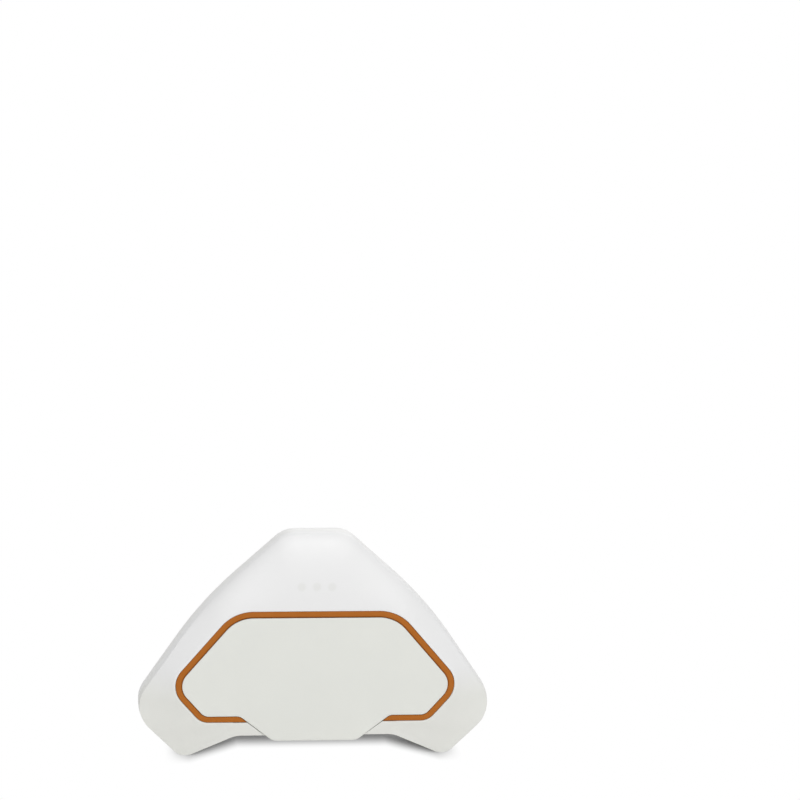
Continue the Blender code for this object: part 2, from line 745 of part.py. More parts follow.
def screw_places():
    """Across, height and front end of the boss, for each casing screw."""
    top = (TOP_HALF + SCREW_TOP_SPREAD, CASE_HEIGHT - SCREW_TOP_DROP, FACE_Y + BOSS_TOP_DEPTH)
    low = (NOTCH_HALF + SCREW_LOW_SPREAD, SCREW_LOW_RISE, FACE_Y + BOSS_LOW_DEPTH)
    return [(side * across, height, boss_y) for across, height, boss_y in (top, low) for side in (-1, 1)]


def snap_places():
    side, height = SIDE_HALF - SNAP_SIDE_INSET, SIDE_HEIGHT + SNAP_SIDE_RISE
    return {"top": (0, CASE_HEIGHT - SNAP_TOP_DROP), "left": (-side, height), "right": (side, height)}


def hang(item, place):
    """Parent a moving piece to an empty on its joint's axis."""
    axis = bpy.data.objects.new(item.name + "_axis", None)
    axis.location = place
    case_collection.objects.link(axis)
    item.parent = axis
    item.matrix_parent_inverse = Matrix.Translation(-axis.location)


def gasket_rings(grow):
    outline = case_corners()
    outer = round_corners(offset_corners(outline, grow - GASKET_INSET))
    inner = round_corners(offset_corners(outline, -grow - GASKET_INSET - GASKET_WIDTH))
    return outer, inner


def add_front_shell(finish):
    shell = loft("front_shell", front_rings(0, FRONT_RIM_Y), finish)
    cavity = loft("front_cavity", front_rings(WALL, FRONT_RIM_Y + OVERRUN))
    deck = plate("deck_block", [round_corners(offset_corners(
        seal_corners(), SEAL_WIDTH / 2 + SEAT_GAP + DECK_BORDER))], FACE_Y - OVERRUN, DECK_BACK_Y)
    backing = plate("tab_backing", [round_corners(offset_corners(tab_corners(), WALL))],
                    FACE_Y - OVERRUN, DECK_BACK_Y - RUN_GAP)
    cut(cavity, deck, backing)
    cut(shell, cavity)

    for index, (across, height, boss_y) in enumerate(screw_places()):
        join(shell, rod(f"front_boss_{index}", BOSS_RADIUS, (across, boss_y, height),
                        (across, FRONT_RIM_Y - RUN_GAP, height)))
    skin_y = PLATEAU_Y + WALL / 2
    for side in (-1, 1):
        across = side * POST_PLACE
        join(shell, rod(f"indicator_post_{side}", POST_RADIUS, (across, skin_y, INDICATOR_HEIGHT),
                        (across, SMALL_BOARD_Y - SEAT_GAP, INDICATOR_HEIGHT)))

    recess = plate("cover_recess", [round_corners(offset_corners(seal_corners(), -SEAL_WIDTH / 2))],
                   FACE_Y - OVERRUN, DECK_Y)
    channel = plate("seal_channel", [round_corners(offset_corners(
        seal_corners(), SEAL_WIDTH / 2 + SEAT_GAP))], FACE_Y - OVERRUN, SEAL_FLOOR_Y)
    dip = box("seal_dip_channel",
              (-DIP_HALF - SEAT_GAP, FACE_Y - OVERRUN, SEAL_BOTTOM - SEAL_WIDTH / 2 - RUN_GAP),
              (DIP_HALF + SEAT_GAP, DIP_FLOOR_Y, SEAL_BOTTOM + SEAL_WIDTH / 2 + RUN_GAP))
    tab = plate("tab_recess", [round_corners(offset_corners(tab_corners(), SEAT_GAP))],
                FACE_Y - OVERRUN, COVER_BACK_Y + SEAT_GAP)
    mouth = plate("bay_mouth", [round_corners(mirrored([
        (BAY_HALF, BAY_TOP, BAY_FILLET), (BAY_HALF, BAY_BOTTOM, BAY_FILLET)]))],
        FACE_Y - OVERRUN, DECK_BACK_Y + OVERRUN)
    cut(shell, recess, channel, dip, tab, mouth)

    arm_half = ARM_WIDTH / 2 + SEAT_GAP
    pocket_half = arm_half + EAR_THICKNESS + SEAT_GAP
    for side in (-1, 1):
        name = "left" if side < 0 else "right"
        place = side * ARM_PLACE
        slot = box(f"arm_slot_{name}", (place - arm_half, DECK_Y - OVERRUN, ARM_LOW),
                   (place + arm_half, DECK_BACK_Y + OVERRUN, OPENING_TOP - RUN_GAP))
        pocket = box(f"hinge_pocket_{name}", (place - pocket_half, LEDGE_BACK_Y, OPENING_TOP - EYE_RADIUS),
                     (place + pocket_half, DECK_BACK_Y + OVERRUN, HINGE_HEIGHT + 2 * EYE_RADIUS))
        cut(shell, slot, pocket)
        for edge in (-1, 1):
            middle = place + edge * (arm_half + EAR_THICKNESS / 2)
            ear = box(f"hinge_ear_{name}_{edge}",
                      (middle - EAR_THICKNESS / 2, PLATEAU_Y + WALL / 2, HINGE_HEIGHT - EAR_HALF_HEIGHT),
                      (middle + EAR_THICKNESS / 2, HINGE_Y + EYE_RADIUS, HINGE_HEIGHT + EAR_HALF_HEIGHT))
            join(shell, ear)
    pin_hole = rod("hinge_pin_hole", PIN_RADIUS + RUN_GAP, (-PIN_HALF - OVERRUN, HINGE_Y, HINGE_HEIGHT),
                   (PIN_HALF + OVERRUN, HINGE_Y, HINGE_HEIGHT), sides=12)
    cut(shell, pin_hole)

    pilot_y = SCREW_SEAT_Y - SCREW_LENGTH - SEAT_GAP
    for index, (across, height, _) in enumerate(screw_places()):
        cut(shell, rod(f"pilot_{index}", SCREW_RADIUS + RUN_GAP, (across, pilot_y, height),
                       (across, FRONT_RIM_Y + OVERRUN, height), sides=12))
    for index in (-1, 0, 1):
        across = index * INDICATOR_PITCH
        cut(shell, rod(f"pipe_hole_{index}", PIPE_RADIUS + SEAT_GAP,
                       (across, PIPE_FRONT_Y - SEAT_GAP, INDICATOR_HEIGHT),
                       (across, PIPE_FRONT_Y + PIPE_LENGTH, INDICATOR_HEIGHT), sides=12))
    cut(shell, plate("front_groove", gasket_rings(GASKET_ROOM),
                     PARTING_Y - GASKET_HALF_HEIGHT - GASKET_ROOM, PARTING_Y))


def add_rear_shell(finish):
    shell = loft("rear_shell", rear_rings(0, REAR_RIM_Y), finish)
    cut(shell, loft("rear_cavity", rear_rings(WALL, REAR_RIM_Y - OVERRUN)))
    for index, (across, height, _) in enumerate(screw_places()):
        join(shell, rod(f"rear_boss_{index}", BOSS_RADIUS, (across, REAR_RIM_Y, height),
                        (across, BACK_Y - WALL / 2, height)))
    for index, (across, height, _) in enumerate(screw_places()):
        cut(shell, rod(f"screw_hole_{index}", SCREW_RADIUS + SEAT_GAP, (across, REAR_RIM_Y - OVERRUN, height),
                       (across, BACK_Y + OVERRUN, height), sides=12))
        cut(shell, rod(f"screw_sink_{index}", SCREW_HEAD_RADIUS + SEAT_GAP,
                       (across, SCREW_SEAT_Y - SEAT_GAP, height), (across, BACK_Y + OVERRUN, height)))
    for name, (across, height) in snap_places().items():
        cut(shell, rod(f"snap_hole_{name}", SNAP_BARREL_RADIUS + SEAT_GAP,
                       (across, BACK_INSIDE_Y - OVERRUN, height), (across, BACK_Y + OVERRUN, height),
                       sides=24))
    label_recess = plate("label_recess", [round_corners(mirrored([
        (LABEL_HALF_WIDTH + SEAT_GAP, LABEL_TOP + SEAT_GAP, LABEL_FILLET),
        (LABEL_HALF_WIDTH + SEAT_GAP, LABEL_BOTTOM - SEAT_GAP, LABEL_FILLET)]))],
        BACK_Y - LABEL_SUNK - LABEL_THICKNESS - SEAT_GAP, BACK_Y + OVERRUN)
    cut(shell, label_recess)
    cut(shell, plate("rear_groove", gasket_rings(GASKET_ROOM),
                     PARTING_Y, PARTING_Y + GASKET_HALF_HEIGHT + GASKET_ROOM))


def add_seals(orange, black):
    ring = plate("stripe_seal", [
        round_corners(offset_corners(seal_corners(), SEAL_WIDTH / 2)),
        round_corners(offset_corners(seal_corners(), -SEAL_WIDTH / 2))], SEAL_FRONT_Y, SEAL_BACK_Y, orange)
    low, high = SEAL_BOTTOM - SEAL_WIDTH / 2, SEAL_BOTTOM + SEAL_WIDTH / 2
    join(ring, box("seal_dip", (-DIP_HALF, SEAL_FRONT_Y, low), (DIP_HALF, DIP_BACK_Y, high)))
    cut(ring, plate("seal_dip_cut", [round_corners(offset_corners(tab_corners(), SEAT_GAP))],
                    SEAL_FRONT_Y - OVERRUN, DIP_FRONT_Y))
    plate("casing_seal", gasket_rings(0), PARTING_Y - GASKET_HALF_HEIGHT,
          PARTING_Y + GASKET_HALF_HEIGHT, black)


def arm_outline():
    """Side view of a hinge arm: an arc round the pin, a leg back to it, and an eye."""
    steps = 10
    sweep = ARM_END_ANGLE - ARM_START_ANGLE

    def on_circle(radius, angle):
        return (HINGE_Y + radius * sin(angle), HINGE_HEIGHT - radius * cos(angle))

    outer = [on_circle(ARM_OUTER_RADIUS, ARM_START_ANGLE + sweep * step / steps) for step in range(steps + 1)]
    inner = [on_circle(ARM_INNER_RADIUS, ARM_START_ANGLE + sweep * step / steps) for step in range(steps)]
    half_leg = ARM_THICKNESS / 2
    leg = [
        (HINGE_Y + ARM_OUTER_RADIUS, HINGE_HEIGHT + half_leg), (HINGE_Y, HINGE_HEIGHT + half_leg),
        (HINGE_Y, HINGE_HEIGHT - half_leg),
        (HINGE_Y + ARM_INNER_RADIUS - half_leg, HINGE_HEIGHT - half_leg)]
    return outer + leg + inner[::-1]


def add_cover(finish, steel):
    """The cover's edge draws in towards its back, so that it clears the seal as it swings."""
    corner_steps = 5
    front = round_corners(cover_corners(), corner_steps)
    back = round_corners(cover_corners(COVER_DRAFT), corner_steps)
    cover = loft("bay_cover", [[(place.x, FACE_Y, place.y) for place in front],
                               [(place.x, COVER_BACK_Y, place.y) for place in back]], finish)
    for side in (-1, 1):
        name = "left" if side < 0 else "right"
        low, high = side * ARM_PLACE - ARM_WIDTH / 2, side * ARM_PLACE + ARM_WIDTH / 2
        arm = plate(f"hinge_arm_{name}", [arm_outline()], low, high, across="X")
        join(arm, rod(f"hinge_eye_{name}", EYE_RADIUS, (low - EYE_RELIEF, HINGE_Y, HINGE_HEIGHT),
                      (high + EYE_RELIEF, HINGE_Y, HINGE_HEIGHT)))
        cut(arm, box(f"arm_trim_{name}",
                     (low - OVERRUN, FACE_Y - ARM_OUTER_RADIUS, HINGE_HEIGHT - 2 * ARM_OUTER_RADIUS),
                     (high + OVERRUN, FACE_Y + COVER_WALL / 2, HINGE_HEIGHT)))
        join(cover, arm)
    cut(cover, rod("eye_hole", PIN_RADIUS + RUN_GAP, (-PIN_HALF, HINGE_Y, HINGE_HEIGHT),
                   (PIN_HALF, HINGE_Y, HINGE_HEIGHT), sides=12))
    hang(cover, (0, HINGE_Y, HINGE_HEIGHT))
    rod("hinge_pin", PIN_RADIUS, (-PIN_HALF, HINGE_Y, HINGE_HEIGHT), (PIN_HALF, HINGE_Y, HINGE_HEIGHT),
        steel, sides=12)


def add_tray(finish):
    """The moulded tray: a shelf under the cover, the battery's trough, and a pocket for the hinge arms."""
    tray = box("battery_tray", (-TRAY_HALF, TRAY_Y, SHELF_LOW - TRAY_WALL),
               (TRAY_HALF, SHELF_BACK_Y, TROUGH_LOW), finish)
    join(tray, box("trough_block", (-TRAY_HALF, TRAY_Y, TROUGH_LOW - TRAY_WALL),
                   (TRAY_HALF, TROUGH_BACK_Y + TRAY_WALL, TROUGH_HIGH + TRAY_WALL)))
    join(tray, box("pocket_block", (-POCKET_HALF - TRAY_WALL, TRAY_Y, TROUGH_HIGH),
                   (POCKET_HALF + TRAY_WALL, POCKET_Y + TRAY_WALL, POCKET_TOP + TRAY_WALL)))
    for side in (-1, 1):
        across = side * STANDOFF_HALF
        join(tray, rod(f"standoff_{side}", STANDOFF_RADIUS,
                       (across, SHELF_Y + TRAY_WALL / 2, STANDOFF_HEIGHT),
                       (across, BOARD_Y - SEAT_GAP, STANDOFF_HEIGHT)))
    front = TRAY_Y - OVERRUN
    cut(tray, box("shelf_cut", (-SHELF_HALF, front, SHELF_LOW), (SHELF_HALF, SHELF_Y, SHELF_TOP)),
        box("trough_cut", (-TROUGH_HALF, front, TROUGH_LOW), (TROUGH_HALF, TROUGH_BACK_Y, TROUGH_HIGH)),
        box("pocket_cut", (-POCKET_HALF, front, TROUGH_HIGH + TRAY_WALL),
            (POCKET_HALF, POCKET_Y, POCKET_TOP)))
    socket_low, socket_high = SHELF_MIDDLE - CARD_SOCKET_WIDTH / 2, SHELF_MIDDLE + CARD_SOCKET_WIDTH / 2
    cut(tray, box("card_window", (CARD_SOCKET_MOUTH - SEAT_GAP, SHELF_Y - OVERRUN, socket_low - SEAT_GAP),
                  (CARD_SOCKET_END + SEAT_GAP, SHELF_BACK_Y + OVERRUN, socket_high + SEAT_GAP)))
    usb_half, usb_tall = USB_WIDTH / 2 + SEAT_GAP, USB_HEIGHT / 2 + SEAT_GAP
    cut(tray, box("usb_window", (USB_PLACE - usb_half, SHELF_Y - OVERRUN, SHELF_MIDDLE - usb_tall),
                  (USB_PLACE + usb_half, SHELF_BACK_Y + OVERRUN, SHELF_MIDDLE + usb_tall)))
    cut(tray, rod("button_hole", BUTTON_RADIUS + SEAT_GAP, (BUTTON_PLACE, SHELF_Y - OVERRUN, SHELF_MIDDLE),
                  (BUTTON_PLACE, SHELF_BACK_Y + OVERRUN, SHELF_MIDDLE), sides=24))
    for side in (-1, 1):
        cut(tray, rod(f"standoff_bore_{side}", BOARD_SCREW_RADIUS + RUN_GAP,
                      (side * STANDOFF_HALF, BOARD_Y - BOARD_SCREW_LENGTH + BOARD_THICKNESS, STANDOFF_HEIGHT),
                      (side * STANDOFF_HALF, BOARD_Y + OVERRUN, STANDOFF_HEIGHT), sides=12))


def add_battery(jacket, steel):
    nub_end = TROUGH_HALF - SEAT_GAP - CONTACT_THICKNESS - SEAT_GAP
    cell_start = nub_end - NUB_LENGTH - CELL_LENGTH
    turned("battery_cell", [
        (0, 0), (CELL_RADIUS - CELL_EDGE, 0), (CELL_RADIUS, CELL_EDGE),
        (CELL_RADIUS, CELL_LENGTH - CELL_EDGE), (CELL_RADIUS - CELL_EDGE, CELL_LENGTH),
        (NUB_RADIUS, CELL_LENGTH), (NUB_RADIUS, CELL_LENGTH + NUB_LENGTH), (0, CELL_LENGTH + NUB_LENGTH)],
        (cell_start, CELL_Y, CELL_HEIGHT), jacket, direction=(1, 0, 0))
    half_wide, half_tall = CONTACT_WIDTH / 2, CONTACT_HEIGHT / 2
    positive = TROUGH_HALF - SEAT_GAP
    box("contact_positive", (positive - CONTACT_THICKNESS, CELL_Y - half_wide, CELL_HEIGHT - half_tall),
        (positive, CELL_Y + half_wide, CELL_HEIGHT + half_tall), steel)
    box("contact_negative", (-positive, CELL_Y - half_wide, CELL_HEIGHT - half_tall),
        (-positive + CONTACT_THICKNESS, CELL_Y + half_wide, CELL_HEIGHT + half_tall), steel)
    start = -positive + CONTACT_THICKNESS + SEAT_GAP + SPRING_WIRE
    length = SPRING_LENGTH - 2 * SPRING_WIRE
    count = round(SPRING_TURNS * SPRING_STEPS_PER_TURN)
    route = []
    for step in range(count + 1):
        share = step / count
        angle = 2 * pi * SPRING_TURNS * share
        radius = SPRING_RADIUS + (SPRING_TIP_RADIUS - SPRING_RADIUS) * share
        route.append((start + length * share, CELL_Y + radius * cos(angle),
                      CELL_HEIGHT + radius * sin(angle)))
    wire("battery_spring", route, SPRING_WIRE, steel, smooth=False)


def add_memory(black, steel):
    low, high = CARD_END - CARD_LENGTH, CARD_END
    half = CARD_WIDTH / 2
    card = plate("memory_card", [round_corners([
        (low, SHELF_MIDDLE + half, CARD_FILLET), (high, SHELF_MIDDLE + half, CARD_FILLET),
        (high, SHELF_MIDDLE - half, CARD_FILLET), (low, SHELF_MIDDLE - half, CARD_FILLET)])],
        CARD_Y - CARD_THICKNESS / 2, CARD_Y + CARD_THICKNESS / 2, black)
    hang(card, ((low + high) / 2, CARD_Y, SHELF_MIDDLE))
    slot_y = CARD_THICKNESS / 2 + SEAT_GAP
    socket = box("card_socket", (CARD_SOCKET_MOUTH, CARD_Y - slot_y - CARD_SOCKET_ROOF,
                                 SHELF_MIDDLE - CARD_SOCKET_WIDTH / 2),
                 (CARD_SOCKET_END, BOARD_Y - SEAT_GAP, SHELF_MIDDLE + CARD_SOCKET_WIDTH / 2), steel)
    cut(socket, box("card_slot",
                    (CARD_SOCKET_MOUTH - OVERRUN, CARD_Y - slot_y, SHELF_MIDDLE - half - SEAT_GAP),
                    (CARD_END + SEAT_GAP, CARD_Y + slot_y, SHELF_MIDDLE + half + SEAT_GAP)))


def add_usb(steel):
    half, tall = USB_WIDTH / 2, USB_HEIGHT / 2
    socket = box("usb_socket", (USB_PLACE - half, USB_FACE_Y, SHELF_MIDDLE - tall),
                 (USB_PLACE + half, BOARD_Y - SEAT_GAP, SHELF_MIDDLE + tall), steel)
    inside, inside_tall = half - USB_SHELL, tall - USB_SHELL
    well = box("usb_well", (USB_PLACE - inside, USB_FACE_Y - OVERRUN, SHELF_MIDDLE - inside_tall),
               (USB_PLACE + inside, USB_FACE_Y + USB_DEPTH, SHELF_MIDDLE + inside_tall))
    tongue = box("usb_tongue", (USB_PLACE - USB_TONGUE_WIDTH / 2, USB_FACE_Y + USB_SHELL,
                                SHELF_MIDDLE - USB_TONGUE_HEIGHT / 2),
                 (USB_PLACE + USB_TONGUE_WIDTH / 2, USB_FACE_Y + USB_DEPTH + USB_SHELL,
                  SHELF_MIDDLE + USB_TONGUE_HEIGHT / 2))
    cut(socket, well)
    join(socket, tongue)


def add_button(orange, black, steel):
    """The button's flange is caught under the shelf. Its plunger sinks into the switch."""
    cap_y = SHELF_Y - BUTTON_PROUD
    length = BUTTON_BACK_Y - cap_y
    flange = BUTTON_RADIUS + BUTTON_FLANGE
    flange_start = length - BUTTON_FLANGE_WALL
    turned("start_button", [
        (0, BUTTON_DISH), (BUTTON_RADIUS / 2, BUTTON_DISH / 2), (BUTTON_RADIUS - BUTTON_DISH, 0),
        (BUTTON_RADIUS, BUTTON_DISH), (BUTTON_RADIUS, flange_start), (flange, flange_start),
        (flange, length), (0, length)], (BUTTON_PLACE, cap_y, SHELF_MIDDLE), orange)
    rod("switch_plunger", PLUNGER_RADIUS, (BUTTON_PLACE, BUTTON_BACK_Y + SEAT_GAP, SHELF_MIDDLE),
        (BUTTON_PLACE, SWITCH_FRONT_Y + PLUNGER_SUNK, SHELF_MIDDLE), black)
    half = SWITCH_SIDE / 2
    switch = box("tact_switch", (BUTTON_PLACE - half, SWITCH_FRONT_Y, SHELF_MIDDLE - half),
                 (BUTTON_PLACE + half, BOARD_Y - SEAT_GAP, SHELF_MIDDLE + half), steel)
    cut(switch, rod("plunger_well", PLUNGER_RADIUS + SEAT_GAP,
                    (BUTTON_PLACE, SWITCH_FRONT_Y - OVERRUN, SHELF_MIDDLE),
                    (BUTTON_PLACE, BOARD_Y - SEAT_GAP - SWITCH_FLOOR, SHELF_MIDDLE)))


def add_indicators(clear, white, green):
    names = {-1: "left", 0: "centre", 1: "right"}
    for index, name in names.items():
        across = index * INDICATOR_PITCH
        rod(f"light_pipe_{name}", PIPE_RADIUS, (across, PIPE_FRONT_Y, INDICATOR_HEIGHT),
            (across, PIPE_FRONT_Y + PIPE_LENGTH, INDICATOR_HEIGHT), clear)
        box(f"indicator_led_{name}", (across - LED_WIDTH / 2, LED_Y, INDICATOR_HEIGHT - LED_HEIGHT / 2),
            (across + LED_WIDTH / 2, LED_Y + LED_THICKNESS, INDICATOR_HEIGHT + LED_HEIGHT / 2), white)
    box("indicator_board",
        (-SMALL_BOARD_HALF, SMALL_BOARD_Y, INDICATOR_HEIGHT - SMALL_BOARD_HALF_HEIGHT),
        (SMALL_BOARD_HALF, SMALL_BOARD_Y + SMALL_BOARD_THICKNESS, INDICATOR_HEIGHT + SMALL_BOARD_HALF_HEIGHT),
        green)


def add_board(green, steel):
    board = plate("main_board", [round_corners(mirrored([
        (BOARD_TOP_HALF, BOARD_TOP, BOARD_FILLET), (BOARD_HALF, BOARD_MIDDLE, BOARD_FILLET),
        (BOARD_LOW_HALF, BOARD_LOW, BOARD_FILLET)]))], BOARD_Y, BOARD_BACK_Y, green)
    for side in (-1, 1):
        name = "left" if side < 0 else "right"
        across = side * STANDOFF_HALF
        cut(board, rod(f"board_hole_{name}", BOARD_SCREW_RADIUS + SEAT_GAP,
                       (across, BOARD_Y - OVERRUN, STANDOFF_HEIGHT),
                       (across, BOARD_BACK_Y + OVERRUN, STANDOFF_HEIGHT), sides=12))
        end = BOARD_SCREW_HEAD_HEIGHT + BOARD_SCREW_LENGTH - SEAT_GAP
        turned(f"board_screw_{name}", [
            (0, 0), (BOARD_SCREW_HEAD_RADIUS, 0), (BOARD_SCREW_HEAD_RADIUS, BOARD_SCREW_HEAD_HEIGHT),
            (BOARD_SCREW_RADIUS, BOARD_SCREW_HEAD_HEIGHT), (BOARD_SCREW_RADIUS, end), (0, end)],
            (across, PART_Y + BOARD_SCREW_HEAD_HEIGHT, STANDOFF_HEIGHT), steel,
            direction=(0, -1, 0), sides=12)


def board_place(name):
    """Where the middle of a component stands on the board."""
    across_share, height_share = COMPONENT_PLACE_SHARES[name]
    return across_share * BOARD_HALF, BOARD_LOW + height_share * (BOARD_TOP - BOARD_LOW)


def add_components(finishes):
    """Pieces on the back of the main board."""
    for name, (half, tall, thickness) in BLOCK_SIZES.items():
        across, height = board_place(name)
        box(name, (across - half, PART_Y, height - tall), (across + half, PART_Y + thickness, height + tall),
            finishes[name])
    for name, (radius, length) in ROUND_SIZES.items():
        across, height = board_place(name)
        rod(name, radius, (across, PART_Y, height), (across, PART_Y + length, height), finishes[name],
            sides=20)


def add_snaps(chrome):
    """The snap sockets. Returns the depth at which their leads are soldered on."""
    barrel_end = BACK_Y - SNAP_SUNK
    flange_y = BACK_INSIDE_Y - SEAT_GAP - SNAP_FLANGE_WALL
    length = barrel_end - flange_y
    for name, (across, height) in snap_places().items():
        turned(f"snap_socket_{name}", [
            (0, 0), (SNAP_FLANGE_RADIUS, 0), (SNAP_FLANGE_RADIUS, SNAP_FLANGE_WALL),
            (SNAP_BARREL_RADIUS, SNAP_FLANGE_WALL), (SNAP_BARREL_RADIUS, length - SNAP_LIP),
            (SNAP_BARREL_RADIUS - SNAP_LIP, length), (SNAP_BORE_RADIUS + SNAP_LIP, length),
            (SNAP_BORE_RADIUS, length - SNAP_LIP), (SNAP_BORE_RADIUS, length - SNAP_BORE_DEPTH),
            (0, length - SNAP_BORE_DEPTH)], (across, flange_y, height), chrome)
    return flange_y - SEAT_GAP


def add_leads(solder_y, finish):
    """Wires from the snap sockets and the indicators to pads on the back of the main board."""
    pad_y = PART_Y + LEAD_RADIUS
    land_y = pad_y + LEAD_RADIUS
    edge = BOARD_HALF - BOARD_FILLET
    for side, name in ((-1, "left"), (1, "right")):
        across, height = snap_places()[name]
        wire(f"electrode_lead_{name}", [
            (across, solder_y, height),
            (across, LEAD_Y, height),
            ((across + side * edge) / 2, (LEAD_Y + pad_y) / 2, height),
            (side * edge, land_y, height),
            (side * (edge - LEAD_PAD), pad_y, height)], LEAD_RADIUS, finish)
    across, height = snap_places()["top"]
    wire("electrode_lead_top", [
        (across, solder_y, height),
        (across, LEAD_Y, height),
        (across - LEAD_BEND, LEAD_Y, height - LEAD_BEND),
        (-(POCKET_HALF + LEAD_SIDE) / 2, LEAD_Y, POCKET_TOP),
        (-LEAD_SIDE, LEAD_Y, CELL_HEIGHT + CELL_RADIUS),
        (-LEAD_SIDE, LEAD_Y, CELL_HEIGHT),
        (-LEAD_SIDE, LEAD_Y, TROUGH_LOW),
        (-LEAD_SIDE, land_y, BOARD_TOP - BOARD_FILLET),
        (-LEAD_SIDE, pad_y, BOARD_TOP - LEAD_BEND)], LEAD_RADIUS, finish)
    cable_y = SMALL_BOARD_Y + SMALL_BOARD_THICKNESS + SEAT_GAP + LEAD_RADIUS
    wire("indicator_cable", [
        (SMALL_BOARD_HALF - LEAD_BEND, cable_y, INDICATOR_HEIGHT),
        (SMALL_BOARD_HALF, cable_y, INDICATOR_HEIGHT),
        (POCKET_HALF, cable_y + LEAD_RADIUS, INDICATOR_HEIGHT - LEAD_RADIUS),
        (LEAD_SIDE - LEAD_RADIUS, LEAD_RADIUS, OPENING_TOP),
        (LEAD_SIDE, LEAD_Y, CELL_HEIGHT + LEAD_BEND),
        (LEAD_SIDE, LEAD_Y, CELL_HEIGHT - LEAD_BEND),
        (LEAD_SIDE, land_y, BOARD_TOP - BOARD_FILLET),
        (LEAD_SIDE, pad_y, BOARD_TOP - LEAD_BEND)], LEAD_RADIUS, finish)


def add_case_screws(steel):
    head_y = SCREW_SEAT_Y + SCREW_HEAD_HEIGHT
    end = SCREW_HEAD_HEIGHT + SCREW_LENGTH
    for index, (across, height, _) in enumerate(screw_places()):
        screw = turned(f"case_screw_{index + 1}", [
            (0, 0), (SCREW_HEAD_RADIUS, 0), (SCREW_HEAD_RADIUS, SCREW_HEAD_HEIGHT),
            (SCREW_RADIUS, SCREW_HEAD_HEIGHT), (SCREW_RADIUS, end), (0, end)],
            (across, head_y, height), steel, direction=(0, -1, 0), sides=16)
        cut(screw, rod(f"drive_{index}", SCREW_DRIVE_RADIUS, (across, head_y - SCREW_DRIVE_DEPTH, height),
                       (across, head_y + OVERRUN, height), sides=6))


def add_label(paper):
    high = BACK_Y - LABEL_SUNK
    plate("type_label", [round_corners(mirrored([
        (LABEL_HALF_WIDTH, LABEL_TOP, LABEL_FILLET), (LABEL_HALF_WIDTH, LABEL_BOTTOM, LABEL_FILLET)]))],
        high - LABEL_THICKNESS, high, paper)


def build():
    clear_scene()
    white = make_material("white_case", (0.78, 0.78, 0.74), 0.45)
    panel = make_material("white_cover", (0.74, 0.74, 0.70), 0.5)
    tray_grey = make_material("tray_grey", (0.55, 0.56, 0.57), 0.6)
    orange = make_material("orange_seal", (0.42, 0.13, 0.03), 0.6)
    black = make_material("black_rubber", (0.02, 0.02, 0.02), 0.7)
    jacket = make_material("cell_jacket", (0.05, 0.12, 0.22), 0.3)
    steel = make_material("plated_steel", (0.72, 0.72, 0.70), 0.3, 1.0)
    chrome = make_material("snap_plating", (0.8, 0.8, 0.8), 0.2, 1.0)
    green = make_material("board_green", (0.02, 0.15, 0.06), 0.5)
    chip = make_material("chip_black", (0.02, 0.02, 0.025), 0.5)
    clear = make_material("clear_guide", (0.85, 0.85, 0.85), 0.1)
    led = make_material("led_white", (0.9, 0.88, 0.7), 0.4)
    lead = make_material("lead_jacket", (0.5, 0.05, 0.04), 0.5)
    paper = make_material("label_grey", (0.6, 0.6, 0.6), 0.5)
    add_front_shell(white)
    add_rear_shell(white)
    add_seals(orange, black)
    add_cover(panel, steel)
    add_tray(tray_grey)
    add_battery(jacket, steel)
    add_memory(black, steel)
    add_usb(steel)
    add_button(orange, black, steel)
    add_indicators(clear, led, green)
    add_board(green, steel)
    add_components({
        "processor_chip": chip, "amplifier_chip": chip, "radio_can": steel, "clock_crystal": steel,
        "buzzer": chip, "backup_cell": chrome, "supply_capacitor": steel})
    add_leads(add_snaps(chrome), lead)
    add_case_screws(steel)
    add_label(paper)


build()
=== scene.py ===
# %% [markdown]
# # A chest-worn heart recorder
#
# This lesson dresses a slim white recorder that snaps onto three electrodes on the chest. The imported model
# holds every piece at its real size, so the first cell loads it. After that we only add fine surfaces and
# finishes, in metres, in the model's own frame.

# %% Load the frame
from math import atan2, ceil, cos, pi, radians, sin, tan, tau

import bmesh
import bpy
import numpy as np
from mathutils import Euler, Matrix, Vector


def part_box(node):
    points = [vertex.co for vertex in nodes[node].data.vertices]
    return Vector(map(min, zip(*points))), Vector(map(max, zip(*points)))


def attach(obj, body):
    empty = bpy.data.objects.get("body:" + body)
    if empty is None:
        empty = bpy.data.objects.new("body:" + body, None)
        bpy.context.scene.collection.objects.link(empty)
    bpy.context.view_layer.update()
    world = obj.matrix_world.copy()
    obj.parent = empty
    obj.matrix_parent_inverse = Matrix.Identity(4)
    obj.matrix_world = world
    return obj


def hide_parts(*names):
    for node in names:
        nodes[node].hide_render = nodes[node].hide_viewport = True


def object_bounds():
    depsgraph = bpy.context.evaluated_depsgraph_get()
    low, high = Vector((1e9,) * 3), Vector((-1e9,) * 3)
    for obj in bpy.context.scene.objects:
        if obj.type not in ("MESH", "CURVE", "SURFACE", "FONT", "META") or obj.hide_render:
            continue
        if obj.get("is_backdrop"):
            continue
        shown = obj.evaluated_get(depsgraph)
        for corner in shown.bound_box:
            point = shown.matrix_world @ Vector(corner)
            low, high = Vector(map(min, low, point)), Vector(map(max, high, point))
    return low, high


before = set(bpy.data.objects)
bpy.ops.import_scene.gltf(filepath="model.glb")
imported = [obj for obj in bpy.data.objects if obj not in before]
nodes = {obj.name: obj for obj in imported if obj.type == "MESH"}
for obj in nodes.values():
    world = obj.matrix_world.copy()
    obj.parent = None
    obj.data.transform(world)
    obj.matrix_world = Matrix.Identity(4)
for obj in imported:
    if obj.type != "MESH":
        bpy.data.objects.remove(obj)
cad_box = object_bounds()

bpy.ops.object.select_all(action="DESELECT")
MM = 0.001


def mm(*values):
    return [value * MM for value in values]


scene = bpy.context.scene
print("nodes in the frame:", len(nodes))

